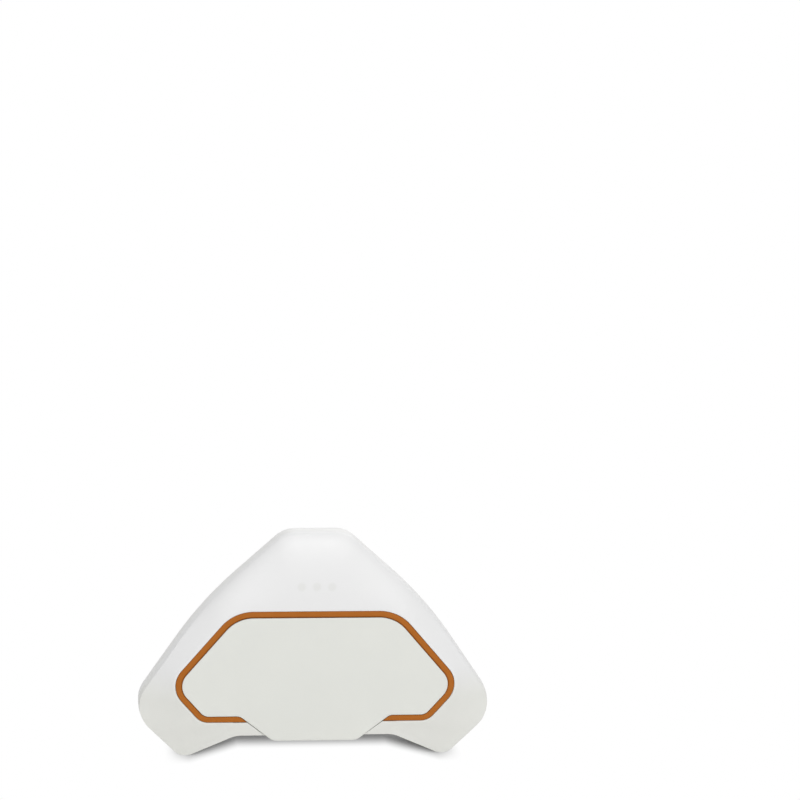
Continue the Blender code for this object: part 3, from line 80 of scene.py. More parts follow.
# %% [markdown]
# ## Camera
#
# The recorder stands in the lower left of the picture, seen from a little above and a little from the
# left, through a long lens. The camera's place and turn come from fitting the recorder's own corners.

# %% Place the camera
LENS, SENSOR, FAR_LIMIT = 150.0, 36.0, 50.0
CAMERA_PLACE = (-0.096427, -1.267642, 0.446841)
CAMERA_TURN = [radians(angle) for angle in (76.62295, -1.23136, -5.50246)]

lens = bpy.data.cameras.new("view_lens")
lens.lens, lens.sensor_width, lens.clip_end = LENS, SENSOR, FAR_LIMIT
camera = bpy.data.objects.new("view_camera", lens)
scene.collection.objects.link(camera)
camera.matrix_world = Matrix.LocRotScale(Vector(CAMERA_PLACE), Euler(CAMERA_TURN), None)
scene.camera = camera
scene.view_settings.view_transform = "Standard"
print("camera at", CAMERA_PLACE)

# %% [markdown]
# ## Small parts of a material
#
# Every material is made of the same few steps: a sum or product of two values, a ramp from one value to
# another, and the place on the piece in its own coordinates.

# %% Helpers for shader nodes
def set_inputs(tree, node, values):
    """Give inputs of a node a number, a colour or another node's output."""
    for name, value in values.items():
        if isinstance(value, (int, float)):
            node.inputs[name].default_value = value
        elif isinstance(value, tuple):
            node.inputs[name].default_value = (*value, 1)
        else:
            tree.links.new(value, node.inputs[name])


def add_node(tree, kind, values=None, **settings):
    node = tree.nodes.new("ShaderNode" + kind)
    for name, value in settings.items():
        setattr(node, name, value)
    set_inputs(tree, node, values or {})
    return node


def combine(tree, operation, *values):
    return add_node(tree, "Math", dict(enumerate(values)), operation=operation).outputs[0]


def ramp(tree, source, start, end, low=0.0, high=1.0, soft=True):
    """A value that goes from low to high while the source goes from start to end."""
    values = {"Value": source, "From Min": start, "From Max": end, "To Min": low, "To Max": high}
    kind = "SMOOTHSTEP" if soft else "LINEAR"
    return add_node(tree, "MapRange", values, interpolation_type=kind).outputs["Result"]


def own_place(tree):
    return add_node(tree, "TexCoord").outputs["Object"]


def own_axes(tree):
    return add_node(tree, "SeparateXYZ", {0: own_place(tree)}).outputs


def new_material(name):
    material = bpy.data.materials.new(name)
    material.use_nodes = True
    return material, material.node_tree, material.node_tree.nodes["Principled BSDF"]


print("shader helpers ready")

# %% [markdown]
# ## Floor and light
#
# The recorder stands on a bright white surface, and only the soft shadow between its feet shows that there
# is a floor. So the floor is matt in and behind the notch, where the casing shades it. There the camera sees
# the floor in a darker tone than the light does, so that shadow is partly real and partly painted, in a patch
# shaped like a shadow. All round it is an even white glow, which the camera and mirror reflections see but
# which lights nothing. The main light is a soft one from the front and above.

# %% Make the floor and the lights
FLOOR_SIZE = 16.0
# The second tone is a painted shadow: the camera sees the matt floor this dark, other rays see the first tone.
FLOOR_TONE, PAINTED_SHADOW_TONE = 0.93, 0.36
SHADE_HALVES, SHADE_FRONTS = mm(30, 50), mm(7.8, -10)
SHADE_WIDTH, SHADE_DEPTH, SHADE_SOFT = mm(60, 46), mm(46, 20), 8 * MM
WORLD_LIGHT, LIGHT_AIM = 0.42, Vector((0, 0, 40)) * MM


def seen_rays(tree):
    """One for a ray from the camera, a mirror or a clear surface, zero for the rest."""
    path = add_node(tree, "LightPath").outputs
    straight = combine(tree, "MAXIMUM", path["Is Camera Ray"], path["Is Glossy Ray"])
    return combine(tree, "MAXIMUM", straight, path["Is Transmission Ray"])


def painted_shadow_mask(tree):
    """One in a patch between the feet and behind them, where the casing shades the floor and the camera sees
    the painted shadow tone.
    """
    axes = own_axes(tree)
    side = combine(tree, "ABSOLUTE", axes["X"])
    line = ramp(tree, side, *SHADE_HALVES, *SHADE_FRONTS, soft=False)
    behind = ramp(tree, combine(tree, "SUBTRACT", axes["Y"], line), -SHADE_SOFT, SHADE_SOFT)
    middle = combine(tree, "MULTIPLY", behind, ramp(tree, side, *SHADE_WIDTH))
    return combine(tree, "MULTIPLY", middle, ramp(tree, axes["Y"], *SHADE_DEPTH))


floor_finish, tree, matt = new_material("studio_floor")
seen = seen_rays(tree)
set_inputs(tree, matt, {"Roughness": 0.9, "Specular IOR Level": 0.0,
                        "Base Color": ramp(tree, seen, 0, 1, FLOOR_TONE, PAINTED_SHADOW_TONE)})
lit = combine(tree, "SUBTRACT", 1.0, painted_shadow_mask(tree))
blend = add_node(tree, "MixShader", {"Fac": combine(tree, "MULTIPLY", lit, seen), 1: matt.outputs[0],
                                     2: add_node(tree, "Emission").outputs[0]})
set_inputs(tree, tree.nodes["Material Output"], {"Surface": blend.outputs[0]})

bpy.ops.mesh.primitive_plane_add(size=FLOOR_SIZE, location=(0, 0, 0))
floor = bpy.context.object
floor.name = "studio_floor"
floor.data.materials.append(floor_finish)
floor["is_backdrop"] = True

world = bpy.data.worlds.new("studio")
scene.world = world
world.use_nodes = True
air = world.node_tree
set_inputs(air, air.nodes["Background"], {
    "Color": (1, 1, 1), "Strength": ramp(air, seen_rays(air), 0, 1, WORLD_LIGHT, 1.0, soft=False)})

for name, place, size, power in (
        ("key_light", (0.12, -1.15, 1.15), 1.0, 12.6), ("overhead_light", (0.0, 0.1, 1.6), 1.2, 4),
        ("back_fill", (0.5, 1.4, 0.8), 1.2, 4)):
    light = bpy.data.lights.new(name, "AREA")
    light.shape, light.size, light.energy = "DISK", size, power
    lamp = bpy.data.objects.new(name, light)
    lamp.location = place
    lamp.rotation_euler = (LIGHT_AIM - Vector(place)).to_track_quat("-Z", "Y").to_euler()
    scene.collection.objects.link(lamp)

# %% [markdown]
# ## Finishes
#
# No moulded plastic is one flat colour. One small recipe serves every finish: two near colours mixed by a
# slow noise, a roughness that a second noise shifts, and a fine bump. A second helper shades a piece, gives
# it its finish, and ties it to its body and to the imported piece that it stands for.

# %% The recipe for a finish
finishes = {}
NOISE_SPREAD, GLOSS_SPREAD = (0.3, 0.7), 0.12


def add_noise(tree, scale, detail=4.0):
    values = {"Vector": own_place(tree), "Scale": scale, "Detail": detail}
    return add_node(tree, "TexNoise", values).outputs["Fac"]


def mix_colours(tree, share, first, second):
    values = {"Factor": share, "A": first, "B": second}
    return add_node(tree, "Mix", values, data_type="RGBA").outputs["Result"]


def make_finish(name, first, second, roughness, grain=0.25, depth=0.006, patch=14, metallic=0.0,
                coat=0.0, specular=0.5):
    """Two near colours in soft patches, an uneven gloss and a fine bump. Lengths are in millimetres."""
    finishes[name], tree, shader = new_material(name)
    patches = ramp(tree, add_noise(tree, 1 / (patch * MM)), *NOISE_SPREAD, soft=False)
    gloss = ramp(tree, add_noise(tree, 4 / (patch * MM), 6.0), *NOISE_SPREAD, roughness * (1 - GLOSS_SPREAD),
                 roughness * (1 + GLOSS_SPREAD), soft=False)
    grains = add_noise(tree, 1 / (grain * MM), 2.0)
    bump = add_node(tree, "Bump", {"Strength": 1.0, "Distance": depth * MM, "Height": grains})
    set_inputs(tree, shader, {
        "Base Color": mix_colours(tree, patches, first, second), "Roughness": gloss, "Metallic": metallic,
        "Coat Weight": coat, "Specular IOR Level": specular, "Normal": bump.outputs["Normal"]})


def give(piece, finish):
    piece.data.materials.clear()
    piece.data.materials.append(finishes[finish])


def pick(piece):
    bpy.ops.object.select_all(action="DESELECT")
    piece.select_set(True)
    bpy.context.view_layer.objects.active = piece


def set_piece(piece, finish, node=None, body="case", degrees=32):
    """Shade a piece, give it its finish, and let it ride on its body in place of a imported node."""
    pick(piece)
    bpy.ops.object.shade_smooth_by_angle(angle=radians(degrees))
    piece.select_set(False)
    give(piece, finish)
    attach(piece, body)
    if node:
        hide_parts(node)
        give(nodes[node], finish)


print("finishes so far:", len(finishes))

# %% [markdown]
# ## Outlines as distances
#
# Casing, seal and cover have straight sides with rounded corners. Seen from a point in the middle, each
# outline crosses every direction just once, so it can be kept as one distance for each direction. A skin
# between two outlines is then a row of rings with their points in the same directions.

# %% Corners, fillets and directions
CENTRE_Z, OUTLINE_STEP, LEAST_FILLET = mm(37.65, 0.25, 0.1)
DIRECTIONS = 480
case_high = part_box("front_shell")[1]
cover_low, cover_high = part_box("bay_cover")


def mirrored(corners):
    """Complete a right-hand list of corners with its mirror image."""
    return corners + [(-across, up, fillet) for across, up, fillet in reversed(corners)]


def corner_sides(corners):
    """Each corner's place, the directions to the corners before and after it, and its fillet."""
    places = [Vector(corner[:2]) for corner in corners]
    for index, here in enumerate(places):
        after = places[(index + 1) % len(places)]
        yield here, (places[index - 1] - here).normalized(), (after - here).normalized(), corners[index][2]


def offset_corners(corners, distance):
    """Move every side of a clockwise outline outwards. Fillets grow or shrink with it."""
    moved = []
    for here, back, ahead, fillet in corner_sides(corners):
        first, second = Vector((back.y, -back.x)), Vector((-ahead.y, ahead.x))
        place = here + (first + second) * distance / (1 + first.dot(second))
        convex = back.x * ahead.y - back.y * ahead.x > 0
        moved.append((place.x, place.y, max(fillet + (distance if convex else -distance), LEAST_FILLET)))
    return moved


def round_corners(corners):
    """Turn corners with fillets into closely spaced points of a closed outline."""
    points = []
    for here, back, ahead, fillet in corner_sides(corners):
        opening = back.angle(ahead)
        centre = here + (back + ahead).normalized() * fillet / sin(opening / 2)
        start = here + back * fillet / tan(opening / 2) - centre
        end = here + ahead * fillet / tan(opening / 2) - centre
        first = atan2(start.y, start.x)
        sweep = (atan2(end.y, end.x) - first + pi) % tau - pi
        count = max(3, ceil(abs(sweep) * fillet / OUTLINE_STEP))
        for step in range(count + 1):
            angle = first + sweep * step / count
            points.append(centre + fillet * Vector((cos(angle), sin(angle))))
    return points


def even_points(corners, spacing):
    """The outline again, with a point at every step along its length."""
    points = round_corners(corners)
    line = np.array([tuple(point) for point in points + points[:1]])
    walked = np.concatenate([[0], np.cumsum(np.linalg.norm(np.diff(line, axis=0), axis=1))])
    places = np.linspace(0, walked[-1], round(walked[-1] / spacing), endpoint=False)
    return np.column_stack([np.interp(places, walked, line[:, axis]) for axis in (0, 1)])


def polar(points):
    up = points[:, 1] - CENTRE_Z
    return np.arctan2(up, points[:, 0]), np.hypot(points[:, 0], up)


def reach(corners):
    """Distance to an outline in each direction."""
    angles, distances = polar(even_points(corners, OUTLINE_STEP))
    return np.interp(directions, *map(np.asarray, zip(*sorted(zip(angles, distances)))), period=tau)


# %% The casing's outline, whose points at even steps give the directions
TOP_HALF, TOP_FILLET = mm(12.4, 12.0)
FLANK_HALF, FLANK_HEIGHT, FLANK_FILLET = mm(44.8, 60.9, 150.0)
SIDE_HALF, SIDE_HEIGHT, SIDE_FILLET = mm(73.5, 18.6, 12.0)
FOOT_OUTER_HALF, FOOT_INNER_HALF, FOOT_FILLET = mm(54.4, 50.0, 5.6)
NOTCH_HALF, NOTCH_HEIGHT, NOTCH_FILLET = mm(31.6, 9.0, 11.0)
FLARE = 0.4 * MM


def case_corners(flare=0):
    """The flare draws the outline in at the flanks, where the bevel ends."""
    return mirrored([
        (TOP_HALF, case_high.z, TOP_FILLET), (FLANK_HALF - flare, FLANK_HEIGHT, FLANK_FILLET),
        (SIDE_HALF - flare, SIDE_HEIGHT, SIDE_FILLET), (FOOT_OUTER_HALF - flare, 0, FOOT_FILLET),
        (FOOT_INNER_HALF, 0, FOOT_FILLET), (NOTCH_HALF, NOTCH_HEIGHT, NOTCH_FILLET),
    ])


def case_reach(growth=0.0, flare=0):
    return reach(offset_corners(case_corners(flare), growth))


outline_length = len(even_points(case_corners(), OUTLINE_STEP)) * OUTLINE_STEP
directions = np.sort(polar(even_points(case_corners(), outline_length / DIRECTIONS))[0])
print("directions:", len(directions), "outline length in mm:", round(outline_length / MM, 1))

# %% [markdown]
# The cover fills the seal and grows a tab from its lower edge. The tab's sides spring from that edge with a
# small fillet.

# %% The outlines of the seal, the cover and the tab
SEAL_TOP_HALF, SEAL_TOP, SEAL_TOP_FILLET = mm(32.0, 59.4, 15.5)
SEAL_SIDE_HALF, SEAL_SIDE, SEAL_SIDE_FILLET = mm(57.05, 29.9, 8.5)
SEAL_BOTTOM_HALF, SEAL_BOTTOM, SEAL_BOTTOM_FILLET = mm(44.8, 15.9, 5.5)
SEAL_HALF, SEAT_GAP, COVER_DRAFT = mm(1.1, 0.3, 0.9)
TAB_ROOT_HALF, TAB_ROOT_FILLET = mm(29.9, 4.0)
TAB_TIP_HALF, TAB_TIP_FILLET = mm(16.7, 5.0)
COVER_EDGE = SEAL_BOTTOM + SEAL_HALF + SEAT_GAP


def seal_corners():
    return mirrored([(SEAL_TOP_HALF, SEAL_TOP, SEAL_TOP_FILLET),
                     (SEAL_SIDE_HALF, SEAL_SIDE, SEAL_SIDE_FILLET),
                     (SEAL_BOTTOM_HALF, SEAL_BOTTOM, SEAL_BOTTOM_FILLET)])


def seal_reach(growth=0.0):
    return reach(offset_corners(seal_corners(), growth))


def cover_corners(draft=0):
    """The draft draws the cover's edge in, but not the sides of its tab."""
    *body, bottom = offset_corners(seal_corners(), -SEAL_HALF - SEAT_GAP - draft)[:3]
    share = (bottom[1] - cover_low.z) / (COVER_EDGE - cover_low.z)
    root = TAB_TIP_HALF + (TAB_ROOT_HALF - TAB_TIP_HALF) * share
    tab = [(root, bottom[1], TAB_ROOT_FILLET), (TAB_TIP_HALF, cover_low.z, TAB_TIP_FILLET)]
    return mirrored([*body, bottom, *tab])


def cover_reach(draft=0, growth=0.0):
    return reach(offset_corners(cover_corners(draft), growth))


def tab_corners():
    """The tab alone, with a strip of the cover above its root."""
    strip_half = TAB_ROOT_HALF + TAB_ROOT_FILLET / 2
    return mirrored([
        (strip_half, COVER_EDGE + 2 * SEAL_HALF, LEAST_FILLET),
        (strip_half, COVER_EDGE + LEAST_FILLET, LEAST_FILLET),
        (TAB_ROOT_HALF, COVER_EDGE + LEAST_FILLET, TAB_ROOT_FILLET),
        (TAB_TIP_HALF, cover_low.z, TAB_TIP_FILLET),
    ])


print("cover height in mm:", round((cover_high.z - cover_low.z) / MM, 1))

# %% [markdown]
# ## Rings
#
# Three helpers turn a section into a body. The first gives its soft corners a short curve. The second
# extrudes the edge of a circle ring by ring, as one would by hand with E, and sets every point to its
# place. The third gives it rings whose points lie in the same directions.

# %% Helpers for bodies made of rings
SOFT_STEPS = 4
MERGE_GAP = 1e-6


def soften(section, closed=False):
    """Replace each soft corner of a section by a short curve. A corner is (distance, depth, softness)."""
    places = [np.stack(np.broadcast_arrays(distance, depth, directions)[:2])
              for distance, depth, softness in section]
    rings = []
    for index, (distance, depth, softness) in enumerate(section):
        here = places[index]
        if not softness or not closed and index in (0, len(section) - 1):
            rings.append(here)
            continue
        ends = []
        for other in (places[index - 1], places[(index + 1) % len(places)]):
            length = np.maximum(np.linalg.norm(other - here, axis=0), 1e-9)
            ends.append(here + (other - here) * np.minimum(softness / length, 0.49))
        for share in np.linspace(0, 1, SOFT_STEPS + 1):
            rings.append(ends[0] * (1 - share) ** 2 + 2 * here * share * (1 - share) + ends[1] * share ** 2)
    return rings


def skin_body(name, rows, closed=False):
    """Extrude a circle from row to row of points. A skin that is not closed gets a flat face at each end."""
    bpy.ops.mesh.primitive_circle_add(vertices=len(rows[0]), radius=0.01, location=(0, 0, 0))
    body = bpy.context.object
    body.name = name
    bpy.ops.object.mode_set(mode="EDIT")
    bpy.ops.mesh.select_mode(type="EDGE")
    bpy.ops.mesh.select_all(action="SELECT")
    shape = bmesh.from_edit_mesh(body.data)
    number = shape.verts.layers.int.new("order")
    for index, vert in enumerate(shape.verts):
        vert[number] = index
    bmesh.update_edit_mesh(body.data)
    if not closed:
        bpy.ops.mesh.edge_face_add()
    for step, row in enumerate(rows):
        if step:
            bpy.ops.mesh.extrude_edges_indiv()
        shape = bmesh.from_edit_mesh(body.data)
        number = shape.verts.layers.int["order"]
        for vert in shape.verts:
            if vert.select:
                vert.co = tuple(row[vert[number]])
        bmesh.update_edit_mesh(body.data)
    if not closed:
        bpy.ops.mesh.edge_face_add()
    bpy.ops.mesh.select_all(action="SELECT")
    bpy.ops.mesh.remove_doubles(threshold=MERGE_GAP)
    bpy.ops.mesh.dissolve_degenerate(threshold=MERGE_GAP / 10)
    bpy.ops.mesh.select_all(action="SELECT")
    bpy.ops.mesh.normals_make_consistent(inside=False)
    bpy.ops.object.mode_set(mode="OBJECT")
    body.data.attributes.remove(body.data.attributes["order"])
    return body


def ring_body(name, section, closed=False):
    """A body from a section all round. A closed section returns to its start."""
    rings = soften(section, closed)
    rows = [np.column_stack([far * np.cos(directions), depth, CENTRE_Z + far * np.sin(directions)])
            for far, depth in (rings + rings[:1] if closed else rings)]
    return skin_body(name, rows, closed)


def report(title, piece):
    """Print a piece's faces, and its edges that do not join exactly two of them."""
    shape = bmesh.new()
    shape.from_mesh(piece.data)
    count = sum(len(edge.link_faces) != 2 for edge in shape.edges)
    shape.free()
    print(title, "faces:", len(piece.data.polygons), "open edges:", count)


# %% [markdown]
# ## Front casing
#
# From the flat rim round the seal the flanks slope straight down to a soft crease, and a short side wall
# ends at the parting line. The top lobe rolls over in one curve. We follow the whole section once round,
# outside and inside, as one closed loop.

# %% The section of the front casing
FACE_Y = cover_low.y
PLATEAU_Y = FACE_Y + 0.2 * MM
WALL = 2.0 * MM
RIM_FLAT, RIM_GAP = mm(0.8, 0.1)
FRONT_RIM_Y = case_high.y
LIP = 0.14 * MM
FLANK_DROP, LOBE_DROP, FOOT_DROP, NOTCH_DROP = mm(5.8, 9.0, 4.0, 0.8)
LOBE_START, LOBE_BLEND = mm(44.0, 30.0)
LOW_START, LOW_BLEND = mm(22.0, 14.0)
NOTCH_START, NOTCH_BLEND = mm(56.0, 28.0)
SEAL_FRONT_Y = FACE_Y + 0.4 * MM
SEAL_BACK_Y = SEAL_FRONT_Y + 0.8 * MM
SEAL_FLOOR_Y = SEAL_BACK_Y + SEAT_GAP
COVER_BACK_Y = FACE_Y + 1.8 * MM
DECK_Y = COVER_BACK_Y + 0.6 * MM
DECK_BACK_Y = DECK_Y + 1.8 * MM
DECK_EDGE = SEAL_HALF + SEAT_GAP + 1.2 * MM
BAY_HALF, BAY_BOTTOM, BAY_TOP, BAY_FILLET = mm(28.0, 19.0, 54.0, 1.5)
PARTING_Y = 0.5 * MM
GROOVE_OUT, GROOVE_IN, GROOVE_DEPTH = mm(0.6, 1.6, 0.8)
SLOPE_STEPS, WALL_STEPS = 14, 4
RIM_SOFT, CREASE_SOFT = mm(0.6, 0.9)


def smooth_step(value):
    value = np.clip(value, 0, 1)
    return value * value * (3 - 2 * value)


def front_skin(shrink):
    """The skin from the rim of the bay to the parting line, shrunk by the wall for its inside."""
    outer, crease = case_reach(-shrink), case_reach(-shrink, FLARE)
    inner = seal_reach(SEAL_HALF + RIM_FLAT)
    height = CENTRE_Z + outer * np.sin(directions)
    lobe = smooth_step((height - LOBE_START) / LOBE_BLEND)
    low = smooth_step((LOW_START - height) / LOW_BLEND)
    notch = smooth_step((NOTCH_START - abs(outer * np.cos(directions))) / NOTCH_BLEND)
    lowest = FOOT_DROP + (NOTCH_DROP - FOOT_DROP) * notch
    drop = (LOBE_DROP - shrink) * lobe + (1 - lobe) * (FLANK_DROP * (1 - low) + lowest * low)
    middle = outer * lobe + crease * (1 - lobe)
    start = PLATEAU_Y + shrink
    skin = []
    for step in range(SLOPE_STEPS + 1):
        turn = step / SLOPE_STEPS * pi / 2
        depth = start + drop * ((1 - lobe) * sin(turn) + lobe * (1 - cos(turn)))
        soft = {0: RIM_SOFT, SLOPE_STEPS: CREASE_SOFT}.get(step, 0)
        skin.append((inner + (middle - inner) * sin(turn), depth, soft))
    for step in range(1, WALL_STEPS + 1):
        share = step / WALL_STEPS
        skin.append((middle + (outer - middle) * sin(share * pi / 2), (start + drop) * (1 - share), 0))
    return skin


def rim_rows(rim_y, side):
    """The rim from outside to inside, with a groove for the gasket."""
    lip_y, groove_y = rim_y + side * LIP, PARTING_Y - side * GROOVE_DEPTH
    return [(case_reach(), lip_y, 0.1 * MM), (case_reach(-GROOVE_OUT), lip_y, 0),
            (case_reach(-GROOVE_OUT), groove_y, 0), (case_reach(-GROOVE_IN), groove_y, 0),
            (case_reach(-GROOVE_IN), rim_y, 0), (case_reach(-WALL), rim_y, 0)]


def front_section():
    deck_side = np.minimum(np.maximum(seal_reach(DECK_EDGE), cover_reach(0, WALL)), case_reach(-WALL))
    mouth = reach(mirrored([(BAY_HALF, BAY_TOP, BAY_FILLET), (BAY_HALF, BAY_BOTTOM, BAY_FILLET)]))
    inside = []
    for distance, depth, softness in reversed(front_skin(WALL)):
        covered = distance <= deck_side + 0.01 * MM
        inside.append((np.maximum(distance, deck_side), np.where(covered, DECK_BACK_Y, depth), 0))
    return [
        (seal_reach(SEAL_HALF + RIM_GAP), PLATEAU_Y, 0.2 * MM),
        *front_skin(0),
        *rim_rows(FRONT_RIM_Y, 1),
        *inside,
        (deck_side, DECK_BACK_Y, 0),
        (mouth, DECK_BACK_Y, 0.3 * MM),
        (mouth, DECK_Y, 0.3 * MM),
        (seal_reach(-SEAL_HALF), DECK_Y, 0),
        (seal_reach(-SEAL_HALF), SEAL_FLOOR_Y, 0.1 * MM),
        (seal_reach(SEAL_HALF + RIM_GAP), SEAL_FLOOR_Y, 0),
    ]


# %% Make the front casing
front_case = ring_body("front_case", front_section(), closed=True)
report("front casing", front_case)

# %% [markdown]
# The recess of the tab, the slots of the hinge arms and the holes are cut as the mould would leave them: a
# Boolean takes a simple tool body away or joins it.

# %% Helpers for tool bodies and small pieces
OVERRUN = 1.5 * MM


def apply_step(piece, kind, **settings):
    step = piece.modifiers.new(kind.lower(), kind)
    for name, value in settings.items():
        setattr(step, name, value)
    bpy.context.view_layer.objects.active = piece
    bpy.ops.object.modifier_apply(modifier=step.name)


def apply_boolean(piece, tools, operation):
    for tool in tools:
        apply_step(piece, "BOOLEAN", operation=operation, solver="EXACT", object=tool)
        bpy.data.objects.remove(tool, do_unlink=True)


def round_edges(piece, width, segments=2, degrees=40):
    apply_step(piece, "BEVEL", width=width, segments=segments, angle_limit=radians(degrees),
               use_clamp_overlap=True)


def block(name, low, high, edge=0, segments=2):
    """A box between two corners, with round edges where asked."""
    low, high = Vector(low), Vector(high)
    bpy.ops.mesh.primitive_cube_add(size=1, location=(low + high) / 2, scale=high - low)
    piece = bpy.context.object
    piece.name = name
    bpy.ops.object.transform_apply()
    if edge:
        round_edges(piece, edge, segments)
    return piece


def circle(radius, sides):
    angles = [tau * step / sides for step in range(sides)]
    return [(radius * cos(angle), radius * sin(angle)) for angle in angles]


def turned_body(name, profile, place, direction=(0, 1, 0), sides=48):
    """A turned piece. Its profile gives (radius, distance along the direction)."""
    turn = Vector(direction).to_track_quat("Z", "Y").to_matrix()
    return skin_body(name, [[Vector(place) + turn @ Vector((first, second, along))
                             for first, second in circle(radius, sides)] for radius, along in profile])


def outline_body(name, points, low, high, across="Y"):
    """A flat outline with a thickness, from one depth to another, or across."""
    return skin_body(name, [[(point[0], level, point[1]) if across == "Y" else (level, *point)
                             for point in points] for level in (low, high)])


# %% [markdown]
# The hinge hides behind the top edge of the cover. Two arms reach round the seal to a steel pin, which four
# small ears of the casing carry. So the casing gets a slot and a pocket for each arm, and a bore.

# %% Cut the front casing
hinge_low, hinge_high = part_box("hinge_pin")
HINGE_Y = (hinge_low.y + hinge_high.y) / 2
HINGE_Z = (hinge_low.z + hinge_high.z) / 2
PIN_RADIUS, PIN_LENGTH = (hinge_high.z - hinge_low.z) / 2, 2 * hinge_high.x
RUN_GAP, EYE_RADIUS = mm(0.2, 1.4)
ARM_PLACE, ARM_WIDTH = mm(19.5, 3.5)
ARM_INNER, ARM_OUTER = mm(5.9, 7.3)
ARM_LOW = HINGE_Z - ARM_OUTER - SEAT_GAP
OPENING_TOP = SEAL_TOP - SEAL_HALF
EAR_WIDTH, EAR_HALF_HEIGHT, EAR_OVERLAP = mm(1.4, 1.6, 0.1)
SLOT_HALF = ARM_WIDTH / 2 + SEAT_GAP
PASSAGE_HALF, POCKET_HALF = SLOT_HALF - 0.02 * MM, SLOT_HALF + EAR_WIDTH - EAR_OVERLAP
LEDGE_BACK_Y = SEAL_FLOOR_Y + 0.8 * MM
DIP_HALF = TAB_ROOT_HALF + SEAT_GAP + 2.2 * MM
DIP_FRONT_Y = COVER_BACK_Y + SEAT_GAP
DIP_BACK_Y = DIP_FRONT_Y + 0.8 * MM


def hinge_bore(overrun):
    radius = PIN_RADIUS + RUN_GAP
    return turned_body("hinge_bore", [(radius, 0), (radius, PIN_LENGTH + 2 * overrun)],
                       (hinge_low.x - overrun, HINGE_Y, HINGE_Z), direction=(1, 0, 0), sides=24)


def front_cutters():
    yield outline_body("tab_recess", round_corners(offset_corners(tab_corners(), SEAT_GAP)),
                       FACE_Y - OVERRUN, COVER_BACK_Y + SEAT_GAP)
    yield block("dip_channel", (-DIP_HALF - SEAT_GAP, FACE_Y - OVERRUN, SEAL_BOTTOM - SEAL_HALF - RUN_GAP),
                (DIP_HALF + SEAT_GAP, DIP_BACK_Y + SEAT_GAP, SEAL_BOTTOM + SEAL_HALF + RUN_GAP))
    for place in (-ARM_PLACE, ARM_PLACE):
        for name, half, front, low, high in (
                ("arm_slot", SLOT_HALF, DECK_Y - OVERRUN, ARM_LOW, OPENING_TOP - RUN_GAP),
                ("leg_passage", PASSAGE_HALF, LEDGE_BACK_Y, OPENING_TOP - EYE_RADIUS, HINGE_Z),
                ("hinge_pocket", POCKET_HALF, LEDGE_BACK_Y, OPENING_TOP + RUN_GAP, HINGE_Z + 2 * EYE_RADIUS)):
            yield block(name, (place - half, front, low), (place + half, DECK_BACK_Y + OVERRUN, high))


def hinge_ears():
    for place in (-ARM_PLACE, ARM_PLACE):
        for edge in (-1, 1):
            middle = place + edge * (SLOT_HALF + EAR_WIDTH / 2)
            yield block("ear", (middle - EAR_WIDTH / 2, PLATEAU_Y + WALL / 2, HINGE_Z - EAR_HALF_HEIGHT),
                        (middle + EAR_WIDTH / 2, HINGE_Y + EYE_RADIUS, HINGE_Z + EAR_HALF_HEIGHT))


apply_boolean(front_case, front_cutters(), "DIFFERENCE")
apply_boolean(front_case, hinge_ears(), "UNION")
apply_boolean(front_case, [hinge_bore(OVERRUN)], "DIFFERENCE")
report("front casing after the cuts,", front_case)

# %% [markdown]
# The casing is a satin white ABS, a little warmer low down. Towards the lobe its colour is painted lighter and
# more neutral, a painted sheen of the light from above. Behind the lobe's skin stand three light pipes; their
# places in the frame get three faint darker spots, painted shade where the pipes show through the thin skin.

# %% The white of the casing
# Painted shade: soft darker discs at the light pipes, with these core and edge radii.
SPOT_CORE, SPOT_EDGE = mm(0.9, 2.3)
PIPE_SHADE_COLOUR, PAINTED_TOP_LIGHT = (0.77, 0.77, 0.76), (0.81, 0.81, 0.81)
# Painted light: between these two heights the casing turns lighter and more neutral, as if lit from above.
TOP_LIGHT_START, TOP_LIGHT_FULL = mm(22, 38)


def pipe_shade_disc(tree, centre):
    """One inside a soft disc round a place of the front, zero outside."""
    axes = own_axes(tree)
    aside, above = (combine(tree, "SUBTRACT", axes[axis], getattr(centre, axis.lower())) for axis in "XZ")
    squares = combine(tree, "ADD", combine(tree, "MULTIPLY", aside, aside),
                      combine(tree, "MULTIPLY", above, above))
    return ramp(tree, combine(tree, "SQRT", squares), SPOT_EDGE, SPOT_CORE)


make_finish("white_case", (0.79, 0.79, 0.78), (0.81, 0.81, 0.80), 0.5)
make_finish("white_front", (0.752, 0.754, 0.715), (0.77, 0.772, 0.735), 0.5)
white_tree = finishes["white_front"].node_tree
base = white_tree.nodes["Principled BSDF"].inputs["Base Color"]
# Painted light from above: a lighter, more neutral white towards the top.
colour = mix_colours(white_tree, ramp(white_tree, own_axes(white_tree)["Z"], TOP_LIGHT_START, TOP_LIGHT_FULL),
                     base.links[0].from_socket, PAINTED_TOP_LIGHT)
# Painted shade at each light pipe, where it shows through the thin skin.
for name in ("light_pipe_left", "light_pipe_centre", "light_pipe_right"):
    low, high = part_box(name)
    colour = mix_colours(white_tree, pipe_shade_disc(white_tree, (low + high) / 2), colour, PIPE_SHADE_COLOUR)
white_tree.links.new(colour, base)
set_piece(front_case, "white_front", "front_shell")
print("finishes:", sorted(finishes))

# %% [markdown]
# ## Rear casing
#
# The rear casing is a shallow tray with a flat back, which lies on the chest. It has the same directions,
# but its section is open, and both its ends are closed by flat faces.

# %% Make the rear casing
rear_low, rear_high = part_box("rear_shell")
REAR_RIM_Y, BACK_Y = rear_low.y, rear_high.y
STRAIGHT_WALL_Y = BACK_Y - 5.5 * MM
REAR_INSET = 4.0 * MM
ROUND_STEPS = 10


